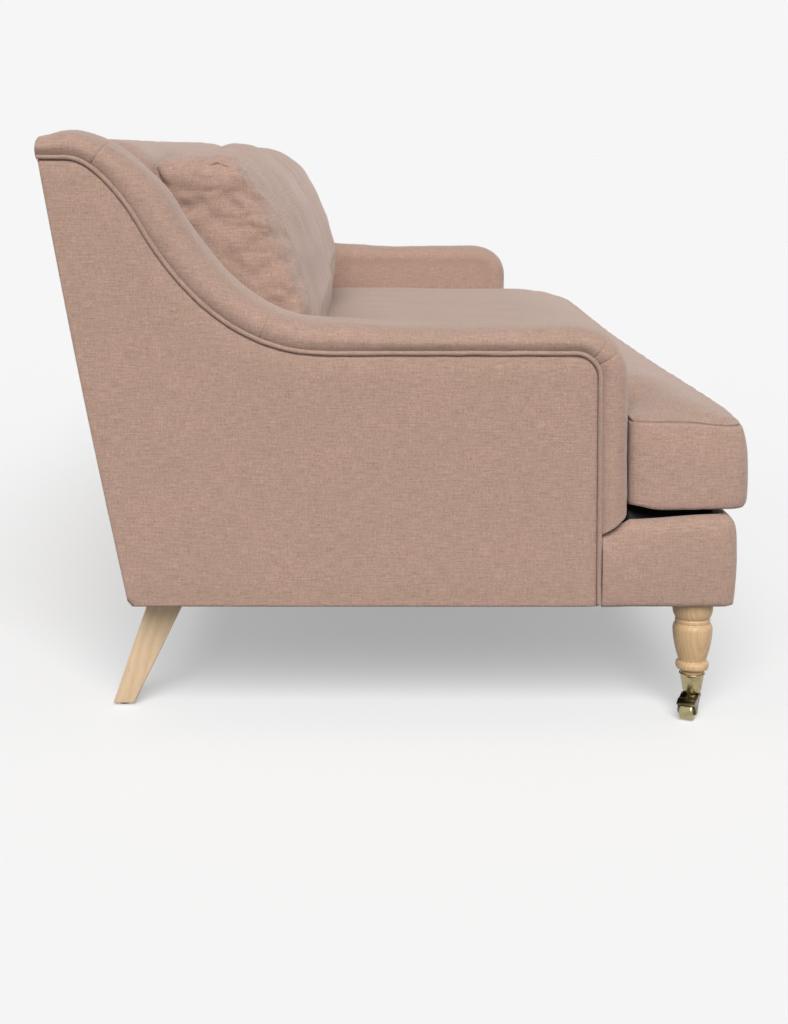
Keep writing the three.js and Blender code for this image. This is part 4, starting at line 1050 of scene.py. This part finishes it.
CUSHION_SEEDS = {1: 110, -1: 130}
CUSHION_VOXEL = 7 * MM
CUSHION_KNOT = 2.5 * MM
CUSHION_SLACK_MM = 7
CUSHION_CAP = 22 * MM
CUSHION_FRAMES = 20
CUSHION_CLOTH = {
    "quality": 5,
    "mass": 0.3,
    "tension_stiffness": 15,
    "compression_stiffness": 4,
    "bending_stiffness": 0.6,
    "use_pressure": True,
    "uniform_pressure_force": 4,
}
# The simulation's creases stay, and its broad swelling, found by averaging so many times, is left out
CUSHION_CREASE_ROUNDS = 22
CUSHION_FOLD_BAND = 12 * MM
# Deep tucks of the end panel, as two (y, z) ends with a depth and half a width
CUSHION_TUCKS = (
    ((0.366, 0.834), (0.346, 0.794), 14 * MM, 6 * MM),
    ((0.288, 0.836), (0.254, 0.822), 9 * MM, 9 * MM),
)
# Highest point of a back cushion at a few depths, below the crest of the back
CUSHION_CEILING = ((0.19, 0.869), (0.27, 0.862), (0.33, 0.852), (0.42, 0.842))
# What the top of one cushion gains or loses at a few depths, and what the shoulder of the other loses
CUSHION_TOP_RISE = ((0.19, 0), (0.215, 5 * MM), (0.245, 8 * MM), (0.268, 3 * MM), (0.285, -3 * MM),
                    (0.31, -2 * MM), (0.34, 0))
CUSHION_SHOULDER_LOSS = 4.5 * MM
REAR_CORNER_Z, REAR_CORNER_GAIN = 0.815, 9 * MM


def inflated(piece):
    """The piece after a short cloth simulation under inner pressure, no point moved further than the cap."""
    start = coordinates(piece)
    cloth = piece.modifiers.new("cloth", "CLOTH")
    for key, value in CUSHION_CLOTH.items():
        setattr(cloth.settings, key, value)
    cloth.settings.effector_weights.gravity = 0
    cloth.collision_settings.use_collision = False
    cloth.point_cache.frame_start = 1
    cloth.point_cache.frame_end = CUSHION_FRAMES
    for number in range(1, CUSHION_FRAMES + 1):
        bpy.context.scene.frame_set(number)
    apply_modifiers(piece)
    moved = coordinates(piece) - start
    length = np.linalg.norm(moved, axis=1)
    moved *= (np.minimum(length, CUSHION_CAP) / np.maximum(length, 1e-9))[:, None]
    set_coordinates(piece, start + moved)
    bpy.context.scene.frame_set(1)


def creased_by_filling(piece):
    """The piece with the creases of the simulation, and without its broad swelling."""
    points = coordinates(piece)
    set_coordinates(piece, points - normals(piece) * CUSHION_SLACK_MM * MM)
    inflated(piece)
    edges = read(piece.data.edges, "vertices", 2, int)
    moved = coordinates(piece) - points
    broad = np.column_stack([spread(m, edges, m < 1, CUSHION_CREASE_ROUNDS) for m in moved.T])
    set_coordinates(piece, points + moved - broad)
    modified(piece, "SMOOTH", iterations=1)


def fold_move(points, end_near, seed, rear):
    """How far folds, creases, tucks and small lumps move each point out, in millimetres."""
    at_end = bump(end_near, 45 * MM)
    slanted = points @ np.array(((1, 0, 0), (0, 0.8, 0.6), (0, -0.6, 0.8))).T
    folds = cloud(slanted, np.array((0.05, 0.10, 0.026)), seed)
    folds = np.sign(folds) * np.abs(folds) ** 1.3
    fine = cloud(slanted, np.array((0.03, 0.03, 0.012)), seed + 1)
    level = np.round(points[:, 2] / CUSHION_FOLD_BAND).astype(int)
    fronts = {k: points[(level == k) & (end_near < 0.1)][:, 1].min(initial=rear) for k in np.unique(level)}
    behind_front = points[:, 1] - np.array([fronts[k] for k in level])
    creases = 1 - np.abs(cloud(points, np.array((0.05, 0.06, 0.019)), seed + 4)) / 0.3
    creases = np.clip(creases, 0, 1) ** 1.5 * bump(behind_front - 30 * MM, 75 * MM)
    move = at_end * (2.4 * folds + 1.3 * fine - 2.6 * creases)
    move += 3.0 * cloud(points, 0.13, seed + 2) + 1.1 * cloud(points, 0.035, seed + 3) * (1 + at_end)
    for (y_a, z_a), (y_b, z_b), deep, wide in CUSHION_TUCKS:
        tuck = np.array(((y_a, z_a), ((y_a + y_b) / 2, (z_a + z_b) / 2 - 2 * MM), (y_b, z_b)))
        move -= deep / MM * bump(line_distance(points[:, 1:], tuck), wide) * at_end
    return move


def box_mapped(piece):
    """Flat cloth coordinates from the axis that each face looks along most."""
    mesh = piece.data
    facing = np.abs(read(mesh.polygons, "normal", 3, np.float32)).argmax(axis=1)
    face_of = np.repeat(facing, read(mesh.polygons, "loop_total", kind=int))
    picks = np.array(((1, 2), (0, 2), (0, 1)))[face_of]
    flat = np.take_along_axis(coordinates(piece)[read(mesh.loops, "vertex_index", kind=int)], picks, axis=1)
    mesh.uv_layers.new(name=UV_NAME).uv.foreach_set("vector", flat.astype(np.float32).ravel())


def back_cushion(side):
    node = f"{SIDE_NAMES[side]}_back_cushion"
    piece = copy_of(node, f"{node}_cover")
    low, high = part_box(node)
    modified(piece, "REMESH", mode="VOXEL", voxel_size=CUSHION_VOXEL)
    modified(piece, "SMOOTH", iterations=6)
    creased_by_filling(piece)
    weld(piece.data, CUSHION_KNOT)
    modified(piece, "SUBSURF", levels=1, render_levels=1)
    points, normal = coordinates(piece), normals(piece)
    end_near = np.abs(points[:, :1] - np.array((low.x, high.x))).min(axis=1)
    move = fold_move(points, end_near, CUSHION_SEEDS[side], high.y)
    resting = np.maximum(smoothstep(0.4, 0.9, normal[:, 1]), smoothstep(0.4, 0.9, -normal[:, 2]))
    points = points + normal * (move * (1 - 0.9 * resting) * MM)[:, None]
    corner = smoothstep(0.30, 0.35, points[:, 1]) * bump(points[:, 2] - REAR_CORNER_Z, 60 * MM)
    points[:, 1] += REAR_CORNER_GAIN * corner * bump(end_near, 80 * MM)
    if side < 0:
        upper = smoothstep(0.76, 0.83, points[:, 2]) * smoothstep(0.2, 0.5, -points[:, 0])
        points[:, 2] += table(CUSHION_TOP_RISE, points[:, 1]) * upper
    else:
        shoulder = smoothstep(0.64, 0.76, points[:, 2]) * smoothstep(0.31, 0.27, points[:, 1])
        points -= normal * (CUSHION_SHOULDER_LOSS * shoulder)[:, None]
    points[:, 2] -= 0.92 * np.maximum(points[:, 2] - table(CUSHION_CEILING, points[:, 1]), 0)
    set_coordinates(piece, points)
    modified(piece, "SMOOTH", iterations=1)
    box_mapped(piece)
    return dressed(piece, node)


# Inside back with its rounded crest

CREST_END_ROUND, CREST_END_REACH = 34 * MM, 70 * MM
BACK_END_ROUND, BACK_END_REACH = 7 * MM, 12 * MM
BACK_END_STEPS = np.array((0, 0.6, 2, 5, 9, 14, 20, 28, 38, 50, 62)) * MM


def inside_back():
    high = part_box("inside_back")[1]
    loop = outline_of("inside_back", 0)
    crest_foot = int(np.argmax(loop[:, 0] * 10 + loop[:, 1]))
    front_low = int(np.argmin(loop[:, 1] * 10 + loop[:, 0]))
    ring = np.roll(loop[::-1], front_low + 1, axis=0)
    turn = (front_low - crest_foot) % len(loop) + 1
    shown = smooth_line(ring[:turn], 10 * MM, 0.12)
    shown = resampled(shown, np.linspace(0, lengths_along(shown)[-1], 90))
    hidden = ring[turn:]
    middle = hidden.mean(axis=0)
    section = np.vstack((shown, hidden))
    count, half = len(section), high.x
    inner = np.arange(-half + 75 * MM, half - 74 * MM, 18 * MM)
    places = np.unique(np.round(np.concatenate((BACK_END_STEPS - half, inner, half - BACK_END_STEPS)), 6))
    crest = smoothstep(high.z - 0.11, high.z - 0.04, shown[:, 1])
    rows, uvs = [], []
    for x in places:
        edge = half - abs(x)
        plain = quarter_round(edge / BACK_END_REACH, 1) * BACK_END_ROUND
        round_end = quarter_round(edge / CREST_END_REACH, 1) * CREST_END_ROUND
        tuck = (plain + (round_end - plain) * crest)[:, None]
        drawn = np.vstack((shown + unit_rows(middle - shown) * tuck, hidden))
        rows.append(np.column_stack((np.full(count, x), drawn)))
        uvs.append(np.column_stack((np.full(count, x), lengths_along(section))))
    points = np.vstack(rows)
    is_shown = np.tile(np.arange(count) < len(shown), len(rows))
    wave = clouds(points, 150, (1.8 * MM, 0.16), (0.8 * MM, 0.05))
    wave *= smoothstep(0, 0.02, half - np.abs(points[:, 0]))
    points[:, 1:] += np.tile(unit_rows(section - middle), (len(rows), 1)) * (wave * is_shown)[:, None]
    return new_piece("inside_back_cover", points, tube_faces(len(rows), count), np.vstack(uvs), "inside_back")


# Outside back, seat deck and dust cover

DECK_EAR_DROP = 12 * MM
# Width of the black sheet on the deck's ears, painted shade for the dark gap under the cushion
DECK_PAINTED_SHADE_WIDTH = 0.12


def outside_back():
    low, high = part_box("outside_back")
    side = outline_of("outside_back", 0)
    rear = (side[side[:, 1] < low.z + MM][:, 0].max(), side[:, 0].max())
    plan = np.array(((-high.x, low.z), (high.x, low.z), (high.x, high.z), (-high.x, high.z)))
    loop = rounded_loop(plan, [4 * MM] * 4, 9 * MM)
    field, triangles, apart = filled(loop, [m * MM for m in (1, 2.5, 4.5, 7)], 16 * MM)
    wave = clouds(field, 160, (1.4 * MM, np.array((0.28, 0.2, 1))), (0.4 * MM, 0.06))
    y = np.interp(field[:, 1], (low.z, high.z), rear) - quarter_round(apart, 7 * MM)
    y += wave * smoothstep(0, 0.04, apart)
    y += REAR_BOW * np.sin(np.pi * (field[:, 1] - low.z) / (high.z - low.z)) - 1.2 * MM
    points = np.column_stack((field[:, 0], y, field[:, 1]))
    return new_piece("outside_back_cover", points, turned_towards(field, triangles, False), field,
                     "outside_back", thickness=CLOTH_THICKNESS)


def seat_deck():
    """The felt pad, and a black sheet on the deck under the cushion's ears: painted shade for the dark gap there.
    """
    low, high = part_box("seat_deck")
    loop = outline_of("seat_deck", 2)
    loop = rounded_loop(loop, [6 * MM] * len(loop), 14 * MM)
    field, triangles, apart = filled(loop, [m * MM for m in (2, 5, 9)], 26 * MM)
    x_reach = np.abs(field[:, 0])
    in_ear = smoothstep(high.x - 0.1, high.x - 0.05, x_reach) * smoothstep(0, 0.02, ARM_FRONT - field[:, 1])
    sag = 1.2 * MM * (1 + cloud(field, 0.09, 170)) * smoothstep(0, 0.03, apart)
    z = high.z - quarter_round(apart / (9 * MM), 1) * 4 * MM - sag - DECK_EAR_DROP * in_ear
    points = np.column_stack((field, z))
    faces = np.array(turned_towards(field, triangles, True))
    thickness = high.z - low.z - 5 * MM
    is_pad = np.full(len(faces), True)
    for side in (-1, 1):
        # Faces under the cushion's ears get the black sheet: painted shade where the gap is dark
        painted_shade_faces = ((side * field[:, 0] > high.x - DECK_PAINTED_SHADE_WIDTH) & (field[:, 1] < ARM_FRONT))[faces].all(axis=1)
        is_pad &= ~painted_shade_faces
        ear = new_piece(f"{SIDE_NAMES[side]}_deck_ear_painted_shade", *used_only(points, faces[painted_shade_faces], field), "seat_deck",
                        thickness=thickness, material=black_dust_cloth_and_painted_shade)
    return new_piece("seat_deck_pad", *used_only(points, faces[is_pad], field), "seat_deck",
                     thickness=thickness)


def dust_cover():
    low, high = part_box("dust_cover")
    plan = np.array(((low.x, low.y), (high.x, low.y), (high.x, high.y), (low.x, high.y)))
    loop = rounded_loop(plan, [3 * MM] * 4, 20 * MM)
    field, triangles, apart = filled(loop, [4 * MM, 9 * MM], 40 * MM)
    z = low.z + 0.3 * MM - 1.5 * MM * smoothstep(0.01, 0.2, apart)
    z += 0.5 * MM * cloud(field, 0.1, 180) * (apart > 0.01)
    points = np.column_stack((field, z))
    return new_piece("dust_cloth", points, turned_towards(field, triangles, False), field, "dust_cover",
                     thickness=0.8 * MM)


for which in (1, -1):
    arm_cover(which)
    side_panel(which)
    welt_cord(which)
front_border()
seat_cushion()
for which in (1, -1):
    back_cushion(which)
inside_back()
outside_back()
seat_deck()
dust_cover()


# Turned and cast pieces: the frame's own profiles, rounded and made fine

UP = (0, 0, 1)
TURNED_SIDES = 72
TURNED_WELD = 0.005 * MM


def profile_of(node, origin, axis):
    """The section of a turned CAD node as ordered (radius, height) points along its axis, and whether it is
    closed."""
    mesh = frame["nodes"][node].data
    axis = np.array(axis) / np.linalg.norm(axis)
    apart = read(mesh.vertices, "co", 3) - np.array(origin)
    height = apart @ axis
    radius = np.linalg.norm(apart - np.outer(height, axis), axis=1)
    keys = [tuple(k) for k in np.round(np.column_stack((radius, height)), 5)]
    joined = {}
    for polygon in mesh.polygons:
        ring = [keys[i] for i in polygon.vertices]
        for a, b in zip(ring, ring[1:] + ring[:1]):
            if a != b:
                joined.setdefault(a, set()).add(b)
                joined.setdefault(b, set()).add(a)
    ends = [k for k in joined if len(joined[k]) == 1]
    line = [max(ends, key=lambda k: k[1]) if ends else max(joined, key=lambda k: (k[1], k[0]))]
    ahead = joined[line[0]]
    while ahead:
        line.append(max(ahead))
        ahead = [k for k in joined[line[-1]] if k not in line]
    return np.array(line), not ends


def filleted(profile, radius, closed):
    """A profile with each corner rounded by about this radius."""
    arcs = []
    for i, corner in enumerate(profile):
        back, on = profile[i - 1] - corner, profile[(i + 1) % len(profile)] - corner
        by = min(radius, 0.45 * np.linalg.norm(back), 0.45 * np.linalg.norm(on))
        back, on = unit_rows(np.array((back, on)))
        arcs.append(corner_arc(corner + back * by, corner, corner + on * by, 3))
    if not closed:
        arcs[0], arcs[-1] = profile[:1], profile[-1:]
    return np.vstack(arcs)


def turned_piece(name, node, origin, axis, fillet=0.0):
    """A turned piece with rounded corners or, where no fillet is given, a flowing line between its ends."""
    profile, closed = profile_of(node, origin, axis)
    if fillet:
        profile = filleted(profile, fillet, closed)
    else:
        profile = np.vstack((profile[:1], smooth_line(profile[1:-2], 0.8 * MM, 1.0), profile[-2:]))
    axis = Vector(axis).normalized()
    side = axis.orthogonal().normalized()
    angles = np.linspace(0, 2 * math.pi, TURNED_SIDES, endpoint=False)
    around = np.outer(np.cos(angles), side) + np.outer(np.sin(angles), axis.cross(side))
    rows = [np.array(origin) + np.array(axis) * h + around * max(r, MM / 1000) for r, h in profile]
    if closed:
        rows.append(rows[0])
    mesh = new_mesh(name, np.vstack(rows), grid_faces(len(rows), TURNED_SIDES, closed=True))
    weld(mesh, TURNED_WELD)
    reworked(mesh, lambda work: bmesh.ops.recalc_face_normals(work, faces=work.faces))
    return dressed(new_object(name, mesh), node)


def bevelled(node, name, width, segments=2, material=None):
    """The CAD node with its edges rounded."""
    piece = copy_of(node, name)
    reworked(piece.data, lambda work: bmesh.ops.dissolve_limit(
        work, angle_limit=math.radians(1), verts=work.verts, edges=work.edges))
    modified(piece, "BEVEL", width=width, segments=segments, limit_method="ANGLE",
             angle_limit=math.radians(35))
    dressed(piece, node, material=material)
    piece.data.set_sharp_from_angle(angle=math.radians(40))
    return piece


def front_leg(name):
    low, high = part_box(f"{name}_front_leg")
    foot = Vector(((low.x + high.x) / 2, (low.y + high.y) / 2, 0))
    turned_piece(f"{name}_turned_leg", f"{name}_front_leg", foot, UP)
    turned_piece(f"{name}_brass_cup", f"{name}_castor_cup", foot, UP, 0.8 * MM)


def castor(name):
    spin = next(joint for joint in frame["joints"] if joint["name"] == f"{name}_wheel_spin")
    for part, fillet in (("wheel", 0.7 * MM), ("axle", 0.5 * MM)):
        turned_piece(f"{name}_brass_{part}", f"{name}_castor_{part}", spin["pos_m"], spin["axis"], fillet)
    bevelled(f"{name}_castor_fork", f"{name}_brass_fork", 0.45 * MM, material=dark_brass)


for which in ("left", "right"):
    front_leg(which)
    castor(which)
    bevelled(f"{which}_rear_leg", f"{which}_splayed_leg", 2.2 * MM, 3, rear_leg_wood_painted_lighter)
    bevelled(f"{which}_rear_glide", f"{which}_nylon_glide", 0.5 * MM)


# Floor, light and camera

def floor_light():
    """Light on the open floor: a sky of top + rise (1 - z)^3, averaged over the half sphere, and the lamp."""
    return SKY_TOP + SKY_RISE / 10 + LAMP_LEVEL * math.sin(math.radians(LAMP_HEIGHT))


def make_floor():
    half = FLOOR_SIZE / 2
    ground_points = [(-half, -half, 0), (half, -half, 0), (half, half, 0), (-half, half, 0)]
    mesh = new_mesh("floor", ground_points, [(0, 1, 2, 3)])
    tree = Tree(bpy.data.materials.new("floor"))
    seen = tree.seen_directly()
    shown = min(BACKGROUND / floor_light(), 1)
    ground = tree.fill(tree.nodes["Principled BSDF"], {
        "Base Color": tree.mix(seen, (FLOOR_BOUNCE,) * 3, (shown,) * 3),
        "Roughness": 1.0,
        "Specular IOR Level": 0.0,
    })
    glow = tree.add("Emission", {"Color": (BACKGROUND,) * 3})
    share = tree.calc("MULTIPLY", seen, FLOOR_GLOW)
    blend = tree.add("MixShader", {0: share, 1: ground.outputs[0], 2: glow.outputs[0]})
    tree.fill(tree.nodes["Material Output"], {"Surface": blend.outputs[0]})
    mesh.materials.append(tree.owner)
    new_object("floor", mesh)


def make_sky():
    tree = Tree(bpy.data.worlds.new("studio"))
    bpy.context.scene.world = tree.owner
    direction = tree.add("SeparateXYZ", {0: tree.add("TexCoord").outputs["Generated"]})
    low_share = tree.calc("POWER", tree.ramp(direction.outputs["Z"], 0, 1, 1, 0), 3)
    strength = tree.calc("MULTIPLY_ADD", low_share, SKY_RISE, SKY_TOP)
    sky = tree.fill(tree.nodes["Background"], {"Color": (1, 1, 1), "Strength": strength})
    backdrop = tree.add("Background", {"Color": (BACKGROUND,) * 3})
    blend = tree.add("MixShader", {0: tree.seen_directly(), 1: sky.outputs[0], 2: backdrop.outputs[0]})
    tree.fill(tree.nodes["World Output"], {"Surface": blend.outputs[0]})


def make_lamp():
    """A soft sun from the side where the photograph was taken."""
    lamp = bpy.data.lights.new("soft_sun", "SUN")
    lamp.energy = math.pi * LAMP_LEVEL
    lamp.angle = math.radians(LAMP_SIZE)
    height = math.radians(LAMP_HEIGHT)
    sun = new_object("soft_sun", lamp)
    sun.rotation_mode = "QUATERNION"
    sun.rotation_quaternion = Vector((-math.cos(height), 0, math.sin(height))).to_track_quat("Z", "Y")


def make_camera():
    data = bpy.data.cameras.new("camera")
    data.sensor_width = SENSOR_MM
    data.lens = SENSOR_MM * FOCAL_PX / PHOTO_HEIGHT
    data.shift_x = (PHOTO_WIDTH / 2 - CENTRE_X) / PHOTO_HEIGHT
    data.shift_y = (CENTRE_Y - PHOTO_HEIGHT / 2) / PHOTO_HEIGHT
    data.clip_end = 1000
    camera = new_object("camera", data)
    camera.location = EYE
    turn = Matrix.Rotation(math.radians(TURN - 90), 3, "Z")
    tilt = Matrix.Rotation(math.radians(90 - TILT_DOWN), 3, "X")
    camera.rotation_euler = (turn @ tilt @ Matrix.Rotation(math.radians(ROLL), 3, "Z")).to_euler()
    bpy.context.scene.camera = camera


make_floor()
make_sky()
make_lamp()
make_camera()
bpy.context.scene.view_settings.view_transform = "Standard"
